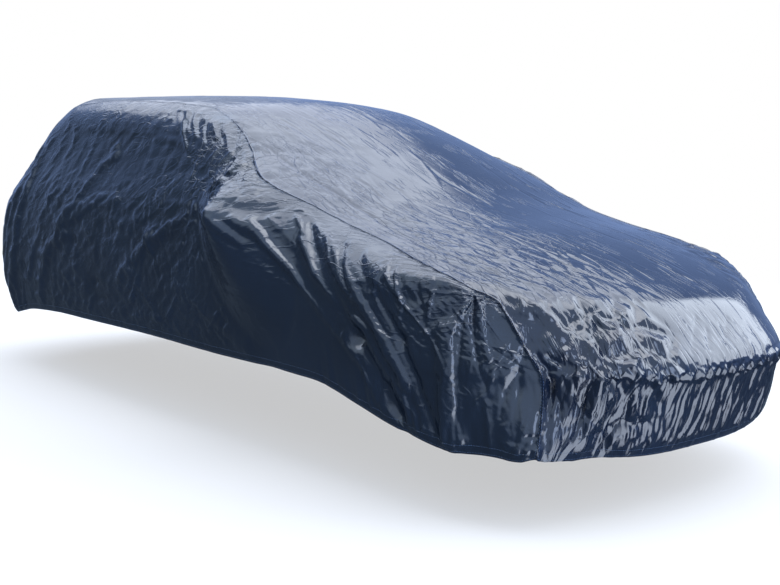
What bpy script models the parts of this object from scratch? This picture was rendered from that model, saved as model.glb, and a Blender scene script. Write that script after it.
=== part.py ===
"""A fitted car cover: three cut panels of thin coated cloth, hanging as a hollow shell.

x runs to the nose, y to the car's left and z up. The origin is on the inner face of the roof, in
the middle of the cover, where it lies on the car. Heights in the tables are above the ground, and
every table is in metres.
"""

from typing import NamedTuple

import bpy
import bmesh
import numpy as np

# Driving dimensions
ROOF_MOUNT_HEIGHT = 1.500
CLOTH_THICKNESS = 0.003
SEAM_GAP = 0.0003
EDGE_RADIUS = 0.15
NOSE_EDGE_RADIUS = 0.06
TAIL_EDGE_RADIUS = 0.12
PLAN_REACH = 0.60
CROWN_POWER = 2.4
END_POWER = 3.0
TAIL_CURVE = 0.10
TENT_POWER = 1.3
HEM_FIRST_GUESS = 0.90
HEM_PASSES = 4
LEAST_RATE = 0.2
SHARP_ANGLE_DEG = 50.0

# Columns and rows of the cloth's grids
SIDE_ROWS = 16
TOP_COLUMNS = 20
ROOF_COLUMNS = 15
WING_COLUMNS = 39

# Irregular pleats that the elastic gathers in the nose's and the tail's hems
PLEAT_LENGTHS = (0.31, 0.23, 0.17)
PLEAT_PHASE = 1.9
PLEAT_DEPTH = 0.012
PLEAT_TOP_HEIGHT = 0.56
HEM_HEIGHT = 0.25

# Where a view's folds fade out as the cloth turns away from it
FACING_LOW = 0.30
FACING_HIGH = 0.70

CLOTH_COLOUR = (0.030, 0.055, 0.105, 1.0)
CLOTH_ROUGHNESS = 0.32


class RoofLine(NamedTuple):
    """Middle of the top at x; edge_drop is how much lower it is PLAN_REACH to the side."""

    x: float
    height: float
    edge_drop: float


class SideLine(NamedTuple):
    """Half width of the cover at a height, at the doors."""

    height: float
    half_width: float


class PlanLine(NamedTuple):
    """Share of that half width that the cover has at x."""

    x: float
    share: float


class EndLine(NamedTuple):
    """How far the middle of the nose and of the tail reach at a height.

    nose_curve is how much less the nose reaches PLAN_REACH to the side.
    """

    height: float
    nose_x: float
    nose_curve: float
    tail_x: float


class SeamPoint(NamedTuple):
    """Point of the seam between the top and a side, from the tail's hem to the nose's hem."""

    x: float
    half_width: float
    height: float


class HemPoint(NamedTuple):
    """Height of the side hem at x."""

    x: float
    height: float


class Bulge(NamedTuple):
    """Tent that something under the cloth holds out, falling away over its reach."""

    x: float
    y: float
    height: float
    push_x: float
    push_y: float
    push_up: float
    reach: float


class SideFold(NamedTuple):
    """Ridge (push above zero) or trough of a side, seen from that side."""

    x_start: float
    height_start: float
    x_end: float
    height_end: float
    bow: float
    width: float
    push_start: float
    push_end: float


class TopFold(NamedTuple):
    """Ridge or trough of the top, seen from above."""

    x_start: float
    y_start: float
    x_end: float
    y_end: float
    bow: float
    width: float
    push_start: float
    push_end: float


class NoseFold(NamedTuple):
    """Ridge or trough of the nose, seen from the front."""

    y_start: float
    height_start: float
    y_end: float
    height_end: float
    bow: float
    width: float
    push_start: float
    push_end: float


ROOF_LINES = (
    RoofLine(x=-1.10, height=1.510, edge_drop=0.035),
    RoofLine(x=-0.85, height=1.519, edge_drop=0.040),
    RoofLine(x=-0.40, height=1.516, edge_drop=0.042),
    RoofLine(x=0.00, height=1.503, edge_drop=0.045),
    RoofLine(x=0.45, height=1.480, edge_drop=0.050),
    RoofLine(x=0.80, height=1.442, edge_drop=0.060),
    RoofLine(x=1.05, height=1.372, edge_drop=0.070),
    RoofLine(x=1.30, height=1.272, edge_drop=0.065),
    RoofLine(x=1.60, height=1.138, edge_drop=0.055),
    RoofLine(x=1.85, height=1.030, edge_drop=0.050),
    RoofLine(x=2.05, height=0.968, edge_drop=0.042),
    RoofLine(x=2.35, height=0.900, edge_drop=0.038),
    RoofLine(x=2.60, height=0.828, edge_drop=0.032),
    RoofLine(x=2.80, height=0.754, edge_drop=0.032),
    RoofLine(x=3.10, height=0.620, edge_drop=0.050),
)

SIDE_LINES = (
    SideLine(height=0.20, half_width=0.868),
    SideLine(height=0.40, half_width=0.893),
    SideLine(height=0.65, half_width=0.905),
    SideLine(height=0.85, half_width=0.885),
    SideLine(height=0.97, half_width=0.855),
    SideLine(height=1.15, half_width=0.765),
    SideLine(height=1.30, half_width=0.695),
    SideLine(height=1.42, half_width=0.640),
    SideLine(height=1.55, half_width=0.585),
)

PLAN_LINES = (
    PlanLine(x=-1.60, share=0.940),
    PlanLine(x=-1.00, share=0.970),
    PlanLine(x=-0.50, share=0.995),
    PlanLine(x=0.20, share=1.000),
    PlanLine(x=1.40, share=1.000),
    PlanLine(x=2.20, share=0.985),
    PlanLine(x=2.60, share=0.972),
    PlanLine(x=3.10, share=0.915),
)

END_LINES = (
    EndLine(height=0.20, nose_x=2.975, nose_curve=0.12, tail_x=-1.450),
    EndLine(height=0.30, nose_x=3.010, nose_curve=0.12, tail_x=-1.520),
    EndLine(height=0.45, nose_x=3.070, nose_curve=0.14, tail_x=-1.610),
    EndLine(height=0.55, nose_x=3.085, nose_curve=0.17, tail_x=-1.630),
    EndLine(height=0.62, nose_x=3.030, nose_curve=0.19, tail_x=-1.630),
    EndLine(height=0.75, nose_x=2.860, nose_curve=0.17, tail_x=-1.620),
    EndLine(height=0.95, nose_x=2.600, nose_curve=0.17, tail_x=-1.560),
    EndLine(height=1.10, nose_x=2.400, nose_curve=0.17, tail_x=-1.410),
    EndLine(height=1.30, nose_x=2.100, nose_curve=0.17, tail_x=-1.225),
    EndLine(height=1.45, nose_x=1.900, nose_curve=0.17, tail_x=-1.080),
    EndLine(height=1.60, nose_x=1.700, nose_curve=0.17, tail_x=-0.940),
)

TAIL_SEAM = (
    SeamPoint(x=-1.38, half_width=0.76, height=0.28),
    SeamPoint(x=-1.46, half_width=0.77, height=0.55),
    SeamPoint(x=-1.45, half_width=0.75, height=0.85),
    SeamPoint(x=-1.26, half_width=0.68, height=1.12),
    SeamPoint(x=-1.06, half_width=0.60, height=1.36),
    SeamPoint(x=-0.92, half_width=0.55, height=1.475),
)

ROOF_SEAM = (
    SeamPoint(x=-0.92, half_width=0.55, height=1.475),
    SeamPoint(x=-0.40, half_width=0.52, height=1.478),
    SeamPoint(x=0.20, half_width=0.53, height=1.452),
    SeamPoint(x=0.67, half_width=0.54, height=1.414),
)

WING_SEAM = (
    SeamPoint(x=0.67, half_width=0.54, height=1.414),
    SeamPoint(x=0.99, half_width=0.60, height=1.310),
    SeamPoint(x=1.25, half_width=0.68, height=1.184),
    SeamPoint(x=1.45, half_width=0.71, height=1.100),
    SeamPoint(x=1.68, half_width=0.72, height=1.014),
    SeamPoint(x=1.90, half_width=0.70, height=0.950),
    SeamPoint(x=2.10, half_width=0.70, height=0.900),
    SeamPoint(x=2.35, half_width=0.735, height=0.837),
    SeamPoint(x=2.53, half_width=0.73, height=0.785),
    SeamPoint(x=2.68, half_width=0.69, height=0.745),
)

NOSE_SEAM = (
    SeamPoint(x=2.68, half_width=0.69, height=0.745),
    SeamPoint(x=2.80, half_width=0.70, height=0.630),
    SeamPoint(x=2.88, half_width=0.70, height=0.520),
    SeamPoint(x=2.90, half_width=0.70, height=0.400),
    SeamPoint(x=2.88, half_width=0.69, height=0.255),
)

HEM_POINTS = (
    HemPoint(x=-1.50, height=0.265),
    HemPoint(x=-1.15, height=0.290),
    HemPoint(x=-0.85, height=0.345),
    HemPoint(x=-0.50, height=0.372),
    HemPoint(x=0.00, height=0.382),
    HemPoint(x=0.50, height=0.387),
    HemPoint(x=1.30, height=0.381),
    HemPoint(x=1.75, height=0.381),
    HemPoint(x=1.95, height=0.372),
    HemPoint(x=2.15, height=0.325),
    HemPoint(x=2.38, height=0.272),
    HemPoint(x=2.60, height=0.255),
    HemPoint(x=3.20, height=0.250),
)

BULGES = (
    Bulge(x=1.38, y=-0.83, height=1.00, push_x=0.00, push_y=-0.175, push_up=0.00, reach=0.35),
    Bulge(x=1.38, y=0.83, height=1.00, push_x=0.00, push_y=0.155, push_up=0.00, reach=0.35),
    Bulge(x=2.90, y=-0.70, height=0.25, push_x=0.05, push_y=-0.07, push_up=-0.025, reach=0.28),
    Bulge(x=2.60, y=-0.82, height=0.25, push_x=0.00, push_y=-0.01, push_up=-0.015, reach=0.22),
    Bulge(x=2.92, y=-0.62, height=0.66, push_x=0.02, push_y=-0.02, push_up=0.00, reach=0.16),
)

# The fan of folds from the mirror and the seam to the front wheel, then the door's and rear wing's
SIDE_FOLDS = (
    SideFold(1.67, 0.93, 2.40, 0.30, bow=0.03, width=0.040, push_start=-0.008, push_end=-0.022),
    SideFold(1.89, 0.89, 2.36, 0.34, bow=0.02, width=0.036, push_start=-0.006, push_end=-0.016),
    SideFold(1.54, 0.96, 2.30, 0.34, bow=0.03, width=0.060, push_start=0.012, push_end=0.018),
    SideFold(1.75, 0.98, 2.33, 0.48, bow=0.02, width=0.040, push_start=0.010, push_end=0.016),
    SideFold(1.98, 0.89, 2.52, 0.37, bow=0.03, width=0.045, push_start=-0.004, push_end=-0.014),
    SideFold(2.12, 0.84, 2.50, 0.45, bow=0.02, width=0.045, push_start=0.008, push_end=0.010),
    SideFold(2.38, 0.57, 2.54, 0.27, bow=0.00, width=0.035, push_start=-0.006, push_end=-0.012),
    SideFold(2.60, 0.66, 2.63, 0.25, bow=0.02, width=0.040, push_start=-0.008, push_end=-0.014),
    SideFold(2.47, 0.70, 2.56, 0.26, bow=0.00, width=0.045, push_start=0.006, push_end=0.012),
    SideFold(2.72, 0.70, 2.72, 0.30, bow=0.00, width=0.035, push_start=-0.006, push_end=-0.010),
    SideFold(1.35, 0.92, 1.62, 0.40, bow=0.00, width=0.090, push_start=0.016, push_end=-0.012),
    SideFold(0.65, 0.82, 0.34, 0.61, bow=0.00, width=0.050, push_start=0.012, push_end=0.004),
    SideFold(0.65, 0.82, 0.92, 0.93, bow=0.00, width=0.050, push_start=0.012, push_end=0.002),
    SideFold(0.60, 0.80, 0.10, 0.86, bow=0.03, width=0.060, push_start=-0.006, push_end=-0.008),
    SideFold(-0.38, 0.84, 0.20, 0.98, bow=0.03, width=0.055, push_start=0.010, push_end=0.006),
    SideFold(-0.30, 0.80, -0.66, 0.45, bow=-0.05, width=0.060, push_start=0.010, push_end=0.008),
    SideFold(-0.20, 0.76, 0.10, 0.55, bow=0.02, width=0.070, push_start=-0.008, push_end=-0.006),
    SideFold(0.00, 1.20, -0.30, 0.92, bow=0.00, width=0.050, push_start=0.008, push_end=0.006),
    SideFold(-0.62, 1.24, -0.88, 0.60, bow=0.04, width=0.050, push_start=-0.006, push_end=-0.010),
    SideFold(-0.95, 1.12, -1.12, 0.45, bow=0.04, width=0.050, push_start=0.006, push_end=0.010),
    SideFold(0.95, 0.62, 1.45, 0.45, bow=0.00, width=0.060, push_start=0.006, push_end=0.008),
    SideFold(-0.45, 0.44, 0.70, 0.46, bow=-0.02, width=0.045, push_start=0.006, push_end=0.006),
)

TOP_FOLDS = (
    TopFold(0.72, -0.36, 1.70, -0.20, bow=0.02, width=0.050, push_start=-0.004, push_end=-0.007),
    TopFold(0.80, 0.05, 2.20, 0.02, bow=0.03, width=0.050, push_start=-0.003, push_end=-0.007),
    TopFold(1.20, 0.32, 2.60, 0.22, bow=0.02, width=0.050, push_start=-0.005, push_end=-0.006),
    TopFold(1.90, -0.48, 2.70, -0.30, bow=0.00, width=0.050, push_start=-0.007, push_end=-0.004),
    TopFold(1.75, -0.15, 2.75, -0.10, bow=-0.02, width=0.055, push_start=0.006, push_end=0.004),
    TopFold(1.00, -0.58, 1.75, -0.58, bow=0.02, width=0.035, push_start=0.006, push_end=0.010),
    TopFold(-0.70, -0.25, 0.50, -0.30, bow=0.04, width=0.070, push_start=0.003, push_end=0.004),
    TopFold(-0.60, 0.28, 0.55, 0.33, bow=-0.04, width=0.070, push_start=0.003, push_end=0.004),
)

NOSE_FOLDS = (
    NoseFold(-0.60, 0.74, -0.52, 0.30, bow=0.02, width=0.045, push_start=0.012, push_end=0.016),
    NoseFold(-0.66, 0.60, -0.62, 0.28, bow=0.00, width=0.035, push_start=-0.012, push_end=-0.016),
    NoseFold(-0.53, 0.56, -0.42, 0.30, bow=0.01, width=0.035, push_start=-0.012, push_end=-0.014),
    NoseFold(-0.37, 0.71, -0.48, 0.56, bow=0.00, width=0.040, push_start=-0.010, push_end=-0.006),
    NoseFold(0.10, 0.72, 0.16, 0.56, bow=0.00, width=0.050, push_start=-0.005, push_end=-0.004),
    NoseFold(0.55, 0.70, 0.50, 0.34, bow=0.00, width=0.050, push_start=-0.006, push_end=-0.012),
)


def smooth_curve(positions, values, at):
    """Read a smooth curve through the points at the given places, straight past its ends."""
    positions = np.asarray(positions, float)
    values = np.asarray(values, float)
    steps = np.diff(positions)
    slopes = np.diff(values) / steps
    tangents = np.empty_like(values)
    tangents[0] = slopes[0]
    tangents[-1] = slopes[-1]
    tangents[1:-1] = (slopes[1:] * steps[:-1] + slopes[:-1] * steps[1:]) / (steps[1:] + steps[:-1])
    at = np.asarray(at, float)
    index = np.clip(np.searchsorted(positions, at) - 1, 0, len(steps) - 1)
    share = np.clip((at - positions[index]) / steps[index], 0.0, 1.0)
    square = share * share
    cube = square * share
    inside = (
        (2 * cube - 3 * square + 1) * values[index]
        + (cube - 2 * square + share) * steps[index] * tangents[index]
        + (3 * square - 2 * cube) * values[index + 1]
        + (cube - square) * steps[index] * tangents[index + 1]
    )
    before = np.minimum(at - positions[0], 0.0) * tangents[0]
    after = np.maximum(at - positions[-1], 0.0) * tangents[-1]
    return inside + before + after


def column(table, name):
    """One named column of a table."""
    return [getattr(row, name) for row in table]


def read(table, by, name, at):
    """Read a table's column smoothly at places along another of its columns."""
    return smooth_curve(column(table, by), column(table, name), at)


def slope_of(function, at, step=0.01):
    """Central difference of a function of one value."""
    return (function(at + step) - function(at - step)) / (2 * step)


def smooth_max(first, second, radius):
    """The larger of two distances, with the corner between them rounded."""
    share = np.clip(0.5 + 0.5 * (first - second) / radius, 0.0, 1.0)
    return second + (first - second) * share + radius * share * (1.0 - share)


def outside_side(x, y, height):
    """Distance of points outside the cover's sides."""

    def half_width(level):
        return read(SIDE_LINES, "height", "half_width", level)

    beyond = np.abs(y) - half_width(height) * read(PLAN_LINES, "x", "share", x)
    return beyond / np.sqrt(1.0 + slope_of(half_width, height) ** 2)


def outside_top(x, y, height):
    """Distance of points above the roof, windscreen and bonnet."""

    def middle(place):
        return read(ROOF_LINES, "x", "height", place)

    crown = read(ROOF_LINES, "x", "edge_drop", x) * (np.abs(y) / PLAN_REACH) ** CROWN_POWER
    return (height - middle(x) + crown) / np.sqrt(1.0 + slope_of(middle, x) ** 2)


def outside_end(x, y, height, name, forward, curve):
    """Distance of points beyond the nose or the tail, which curve back towards their corners."""

    def reach(level):
        return read(END_LINES, "height", name, level)

    share = np.abs(y) / PLAN_REACH
    beyond = forward * (x - reach(height)) + curve * share**END_POWER
    lean = END_POWER * curve / PLAN_REACH * share ** (END_POWER - 1.0)
    return beyond / np.sqrt(1.0 + slope_of(reach, height) ** 2 + lean**2)


def outside_body(points):
    """Distance of points from the smooth body that the cover lies on, below zero inside."""
    x = points[..., 0]
    y = points[..., 1]
    height = points[..., 2]
    nose_curve = read(END_LINES, "height", "nose_curve", height)
    nose = outside_end(x, y, height, "nose_x", 1.0, nose_curve)
    tail = outside_end(x, y, height, "tail_x", -1.0, TAIL_CURVE)
    middle = smooth_max(nose, outside_top(x, y, height), NOSE_EDGE_RADIUS)
    middle = smooth_max(tail, middle, TAIL_EDGE_RADIUS)
    return smooth_max(outside_side(x, y, height), middle, EDGE_RADIUS)


def body_slope(points, step=0.001):
    """Direction and rate in which the distance from the body grows."""
    slopes = np.empty_like(points)
    for axis in range(3):
        shift = np.zeros(3)
        shift[axis] = step
        slopes[..., axis] = (outside_body(points + shift) - outside_body(points - shift)) / (2 * step)
    return slopes


def lay_on_body(points, passes=14):
    """Move points along the shortest way onto the smooth body."""
    points = np.array(points, float)
    for _ in range(passes):
        slopes = body_slope(points)
        rate = np.maximum((slopes**2).sum(-1), LEAST_RATE)
        points = points - (outside_body(points) / rate)[..., None] * slopes
    return points


def seam_line(table, side, count):
    """Evenly spaced points along one stretch of a side's seam."""
    rows = np.array([(row.x, side * row.half_width, row.height) for row in table])
    lengths = np.concatenate([[0.0], np.cumsum(np.linalg.norm(np.diff(rows, axis=0), axis=1))])
    places = np.linspace(0.0, lengths[-1], count + 1)
    line = np.stack([smooth_curve(lengths, rows[:, axis], places) for axis in range(3)], axis=-1)
    return lay_on_body(line)


def hem_line(along_x, side):
    """The side hem below the given places, hanging at the body's width there."""
    height = read(HEM_POINTS, "x", "height", along_x)
    line = np.stack([along_x, np.full_like(along_x, side * HEM_FIRST_GUESS), height], axis=-1)
    for _ in range(HEM_PASSES):
        line = lay_on_body(line)
        line[:, 0] = along_x
        line[:, 2] = height
    return line


def seam_lines(side):
    """The tail, long and nose stretches of a side's seam."""
    tail = seam_line(TAIL_SEAM, side, SIDE_ROWS)
    roof = seam_line(ROOF_SEAM, side, ROOF_COLUMNS)
    wing = seam_line(WING_SEAM, side, WING_COLUMNS)
    nose = seam_line(NOSE_SEAM, side, SIDE_ROWS)
    long = np.concatenate([tail[-1:], roof[1:], wing[1:]])
    nose[0] = long[-1]
    return tail, long, nose


def side_grid(side):
    """Grid of a side panel's smooth face: columns from tail to nose, rows from hem to seam."""
    tail, long, nose = seam_lines(side)
    nose = nose[::-1]
    share_x = (long[:, 0] - long[0, 0]) / (long[-1, 0] - long[0, 0])
    hem = hem_line(tail[0, 0] + share_x * (nose[0, 0] - tail[0, 0]), side)
    hem[0] = tail[0]
    hem[-1] = nose[0]
    along = share_x[:, None, None]
    up = np.linspace(0.0, 1.0, len(tail))[None, :, None]
    grid = (1 - up) * hem[:, None] + up * long[:, None] + (1 - along) * tail[None] + along * nose[None]
    grid -= (1 - along) * (1 - up) * hem[0] + along * (1 - up) * hem[-1]
    grid -= (1 - along) * up * long[0] + along * up * long[-1]
    grid = lay_on_body(grid)
    grid[:, 0] = hem
    grid[:, -1] = long
    grid[0] = tail
    grid[-1] = nose
    return grid


def top_grid():
    """Grid of the top panel's smooth face: rows from the tail's hem to the nose's, right to left."""
    tail, long, nose = seam_lines(-1)
    right = np.concatenate([tail, long[1:], nose[1:]])
    left = right * np.array([1.0, -1.0, 1.0])
    across = np.linspace(0.0, 1.0, TOP_COLUMNS + 1)[None, :, None]
    grid = lay_on_body((1 - across) * right[:, None] + across * left[:, None])
    grid[:, 0] = right
    grid[:, -1] = left
    return grid


def smooth_step(low, high, value):
    """Rise smoothly from 0 at low to 1 at high."""
    share = np.clip((value - low) / (high - low), 0.0, 1.0)
    return share * share * (3.0 - 2.0 * share)


def fold_push(first, second, folds):
    """Outward push of a table's folds at places seen in the folds' own view."""
    push = np.zeros_like(first)
    for fold in folds:
        run = np.array([fold[2] - fold[0], fold[3] - fold[1]])
        length = np.hypot(*run)
        along = ((first - fold[0]) * run[0] + (second - fold[1]) * run[1]) / length**2
        along = np.clip(along, 0.0, 1.0)
        bow = fold.bow * 4.0 * along * (1.0 - along) / length
        off_first = first - (fold[0] + run[0] * along - run[1] * bow)
        off_second = second - (fold[1] + run[1] * along + run[0] * bow)
        height = fold.push_start + (fold.push_end - fold.push_start) * along
        push += height * np.exp(-(off_first**2 + off_second**2) / fold.width**2)
    return push


def pleat_push(y, height):
    """Outward push of the gathered pleats, deepest at the hem."""
    wave = np.zeros_like(y)
    for number, length in enumerate(PLEAT_LENGTHS):
        wave += np.sin(2.0 * np.pi * y / length + PLEAT_PHASE * number) / len(PLEAT_LENGTHS)
    return PLEAT_DEPTH * wave * smooth_step(PLEAT_TOP_HEIGHT, HEM_HEIGHT, height)


def bulge_shift(points):
    """Movement of points held out by what lies under the cloth."""
    shift = np.zeros_like(points)
    for bulge in BULGES:
        centre = np.array([bulge.x, bulge.y, bulge.height])
        away = np.linalg.norm(points - centre, axis=-1)
        share = smooth_step(0.0, 1.0, np.clip(1.0 - away / bulge.reach, 0.0, 1.0)) ** TENT_POWER
        shift[..., 0] += share * bulge.push_x
        shift[..., 1] += share * bulge.push_y
        shift[..., 2] += share * bulge.push_up
    return shift


def lay_folds(grid):
    """Outer and inner faces of the cloth over a smooth grid, with its bulges and folds."""
    normals = body_slope(grid)
    normals /= np.linalg.norm(normals, axis=-1, keepdims=True)
    x, y, height = np.moveaxis(grid, -1, 0)
    to_front, to_left, to_top = np.moveaxis(normals, -1, 0)
    push = smooth_step(FACING_LOW, FACING_HIGH, np.abs(to_left)) * fold_push(x, height, SIDE_FOLDS)
    push += smooth_step(FACING_LOW, FACING_HIGH, to_top) * fold_push(x, y, TOP_FOLDS)
    push += smooth_step(FACING_LOW, FACING_HIGH, to_front) * fold_push(y, height, NOSE_FOLDS)
    push += smooth_step(FACING_LOW, FACING_HIGH, np.abs(to_front)) * pleat_push(y, height)
    outer = grid + push[..., None] * normals + bulge_shift(grid)
    inner = outer - CLOTH_THICKNESS * normals
    return outer, inner


def inward_steps(edge, next_line):
    """Steps of half the seam's gap from an edge into its panel, square to the edge."""
    along = np.gradient(edge, axis=0)
    along /= np.linalg.norm(along, axis=-1, keepdims=True)
    inward = next_line - edge
    inward -= (inward * along).sum(-1, keepdims=True) * along
    return inward / np.linalg.norm(inward, axis=-1, keepdims=True) * (SEAM_GAP / 2)


def open_seams(outer, inner, seams):
    """Draw a panel's sewn edges back, so that it stays clear of its neighbour."""
    steps = np.zeros_like(outer)
    if "first_row" in seams:
        steps[0] += inward_steps(outer[0], outer[1])
    if "last_row" in seams:
        steps[-1] += inward_steps(outer[-1], outer[-2])
    if "first_column" in seams:
        steps[:, 0] += inward_steps(outer[:, 0], outer[:, 1])
    if "last_column" in seams:
        steps[:, -1] += inward_steps(outer[:, -1], outer[:, -2])
    return outer + steps, inner + steps


def rim_places(rows, columns):
    """Grid places around a panel's edge, in order."""
    places = [(row, 0) for row in range(rows)]
    places += [(rows - 1, place) for place in range(1, columns)]
    places += [(row, columns - 1) for row in range(rows - 2, -1, -1)]
    places += [(0, place) for place in range(columns - 2, 0, -1)]
    return places


def cloth_mesh(name, outer, inner):
    """Closed mesh between the two faces of a panel.

    The faces are lofted by hand, since two panels share their normals at a seam and meet there
    in a mitre, which a Solidify modifier on each panel can't make. Both faces are cut along the
    same diagonals, so that they stay a cloth's thickness apart.
    """
    drop = np.array([0.0, 0.0, ROOF_MOUNT_HEIGHT])
    shape = bmesh.new()
    front = [[shape.verts.new(point) for point in line] for line in outer - drop]
    back = [[shape.verts.new(point) for point in line] for line in inner - drop]
    rows, columns = outer.shape[:2]
    for row in range(rows - 1):
        for place in range(columns - 1):
            corners = [(row, place), (row + 1, place), (row + 1, place + 1), (row, place + 1)]
            spans = [np.linalg.norm(outer[corners[a]] - outer[corners[a + 2]]) for a in (0, 1)]
            if spans[1] < spans[0]:
                corners = corners[1:] + corners[:1]
            for places in (corners[:3], corners[2:] + corners[:1]):
                shape.faces.new([front[a][b] for a, b in places])
                shape.faces.new([back[a][b] for a, b in reversed(places)])
    rim = rim_places(rows, columns)
    for (a, b), (c, d) in zip(rim, rim[1:] + rim[:1]):
        shape.faces.new((front[a][b], back[a][b], back[c][d], front[c][d]))
    mesh = bpy.data.meshes.new(name)
    shape.to_mesh(mesh)
    shape.free()
    mesh.shade_smooth()
    mesh.set_sharp_from_angle(angle=np.radians(SHARP_ANGLE_DEG))
    return mesh


def cloth_material(name):
    """Thin, glossy, dark navy coated taffeta."""
    material = bpy.data.materials.new(name)
    material.use_nodes = True
    shader = material.node_tree.nodes["Principled BSDF"]
    shader.inputs["Base Color"].default_value = CLOTH_COLOUR
    shader.inputs["Roughness"].default_value = CLOTH_ROUGHNESS
    shader.inputs["Metallic"].default_value = 0.0
    material.diffuse_color = CLOTH_COLOUR
    return material


def add_panel(name, grid, seams, collection):
    """Build one panel of the cover as its own object."""
    outer, inner = lay_folds(grid)
    outer, inner = open_seams(outer, inner, seams)
    mesh = cloth_mesh(name, outer, inner)
    mesh.materials.append(cloth_material(name + "_taffeta"))
    collection.objects.link(bpy.data.objects.new(name, mesh))


def main():
    """Build the cover's three panels in an empty scene."""
    for thing in list(bpy.data.objects):
        bpy.data.objects.remove(thing)
    cover = bpy.data.collections.new("car_cover")
    bpy.context.scene.collection.children.link(cover)
    add_panel("top_panel", top_grid(), ("first_column", "last_column"), cover)
    sewn = ("first_row", "last_row", "last_column")
    add_panel("side_panel_right", side_grid(-1), sewn, cover)
    add_panel("side_panel_left", side_grid(1)[::-1], sewn, cover)


if __name__ == "__main__":
    main()
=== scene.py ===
"""Looks of a fitted car cover: three panels of thin coated taffeta, hanging as a hollow shell.

x runs to the nose, y to the cover's left and z up, as in the CAD frame. Heights in the tables are
above the ground, and every table is in metres.
"""

from __future__ import annotations

import logging
import math
from dataclasses import dataclass, field
from enum import Enum

import bmesh
import bpy
import numpy as np
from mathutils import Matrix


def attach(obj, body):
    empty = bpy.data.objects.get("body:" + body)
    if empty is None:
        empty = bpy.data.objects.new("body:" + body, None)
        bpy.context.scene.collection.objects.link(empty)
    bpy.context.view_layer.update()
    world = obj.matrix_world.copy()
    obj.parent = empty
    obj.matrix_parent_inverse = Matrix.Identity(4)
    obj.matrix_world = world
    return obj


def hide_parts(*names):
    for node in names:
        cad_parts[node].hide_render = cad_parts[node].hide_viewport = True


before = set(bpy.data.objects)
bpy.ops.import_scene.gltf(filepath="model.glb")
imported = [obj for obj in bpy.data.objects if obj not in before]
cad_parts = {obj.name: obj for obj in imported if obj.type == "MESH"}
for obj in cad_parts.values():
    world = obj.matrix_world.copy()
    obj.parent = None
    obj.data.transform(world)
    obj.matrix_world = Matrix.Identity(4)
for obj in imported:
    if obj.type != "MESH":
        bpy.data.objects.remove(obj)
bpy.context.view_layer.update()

LOG = logging.getLogger("car_cover")
# Height of the frame's origin above the ground.
ROOF_MOUNT_HEIGHT = 1.500
# Half of the stretch over which a table's slope is read.
SLOPE_STEP = 0.01


class View(Enum):
    """The view that a fold's two coordinates belong to."""

    SIDE = (0, 2)
    TOP = (0, 1)
    NOSE = (1, 2)


class Form(Enum):
    """How a fold rises across its width."""

    SOFT = "soft"
    CRISP = "crisp"


def smooth_step(low: float, high: float, value: np.ndarray) -> np.ndarray:
    """Rise smoothly from 0 at low to 1 at high."""
    share = np.clip((value - low) / (high - low), 0.0, 1.0)
    return share * share * (3.0 - 2.0 * share)


def smooth_max(first: np.ndarray, second: np.ndarray, radius: float) -> np.ndarray:
    """The larger of two distances, with the corner between them rounded."""
    share = np.clip(0.5 + 0.5 * (first - second) / radius, 0.0, 1.0)
    return second + (first - second) * share + radius * share * (1.0 - share)


def smooth_curve(positions: np.ndarray, values: np.ndarray, at: np.ndarray) -> np.ndarray:
    """Read a smooth curve through points, straight past its ends.

    Args:
        positions: Rising places of the points.
        values: Value at each point.
        at: Places to read.

    Returns:
        The curve's value at each place.
    """
    steps = np.diff(positions)
    slopes = np.diff(values) / steps
    tangents = np.empty_like(values)
    tangents[0] = slopes[0]
    tangents[-1] = slopes[-1]
    tangents[1:-1] = (slopes[1:] * steps[:-1] + slopes[:-1] * steps[1:]) / (steps[1:] + steps[:-1])
    index = np.clip(np.searchsorted(positions, at) - 1, 0, len(steps) - 1)
    share = np.clip((at - positions[index]) / steps[index], 0.0, 1.0)
    square = share * share
    cube = square * share
    inside = (
        (2 * cube - 3 * square + 1) * values[index]
        + (cube - 2 * square + share) * steps[index] * tangents[index]
        + (3 * square - 2 * cube) * values[index + 1]
        + (cube - square) * steps[index] * tangents[index + 1]
    )
    before = np.minimum(at - positions[0], 0.0) * tangents[0]
    after = np.maximum(at - positions[-1], 0.0) * tangents[-1]
    return inside + before + after


@dataclass(frozen=True)
class Table:
    """Rows of measurements under named columns, read as smooth curves."""

    columns: tuple[str, ...]
    rows: tuple[tuple[float, ...], ...]

    def column(self, name: str) -> np.ndarray:
        """All values of one column."""
        return np.array([row[self.columns.index(name)] for row in self.rows])

    def read(self, name: str, at: np.ndarray) -> np.ndarray:
        """A column's value at places along the first column."""
        return smooth_curve(self.column(self.columns[0]), self.column(name), np.asarray(at, float))

    def rate(self, name: str, at: np.ndarray) -> np.ndarray:
        """How fast a column's value changes at places along the first column."""
        step = SLOPE_STEP
        return (self.read(name, at + step) - self.read(name, at - step)) / (2 * step)


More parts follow.
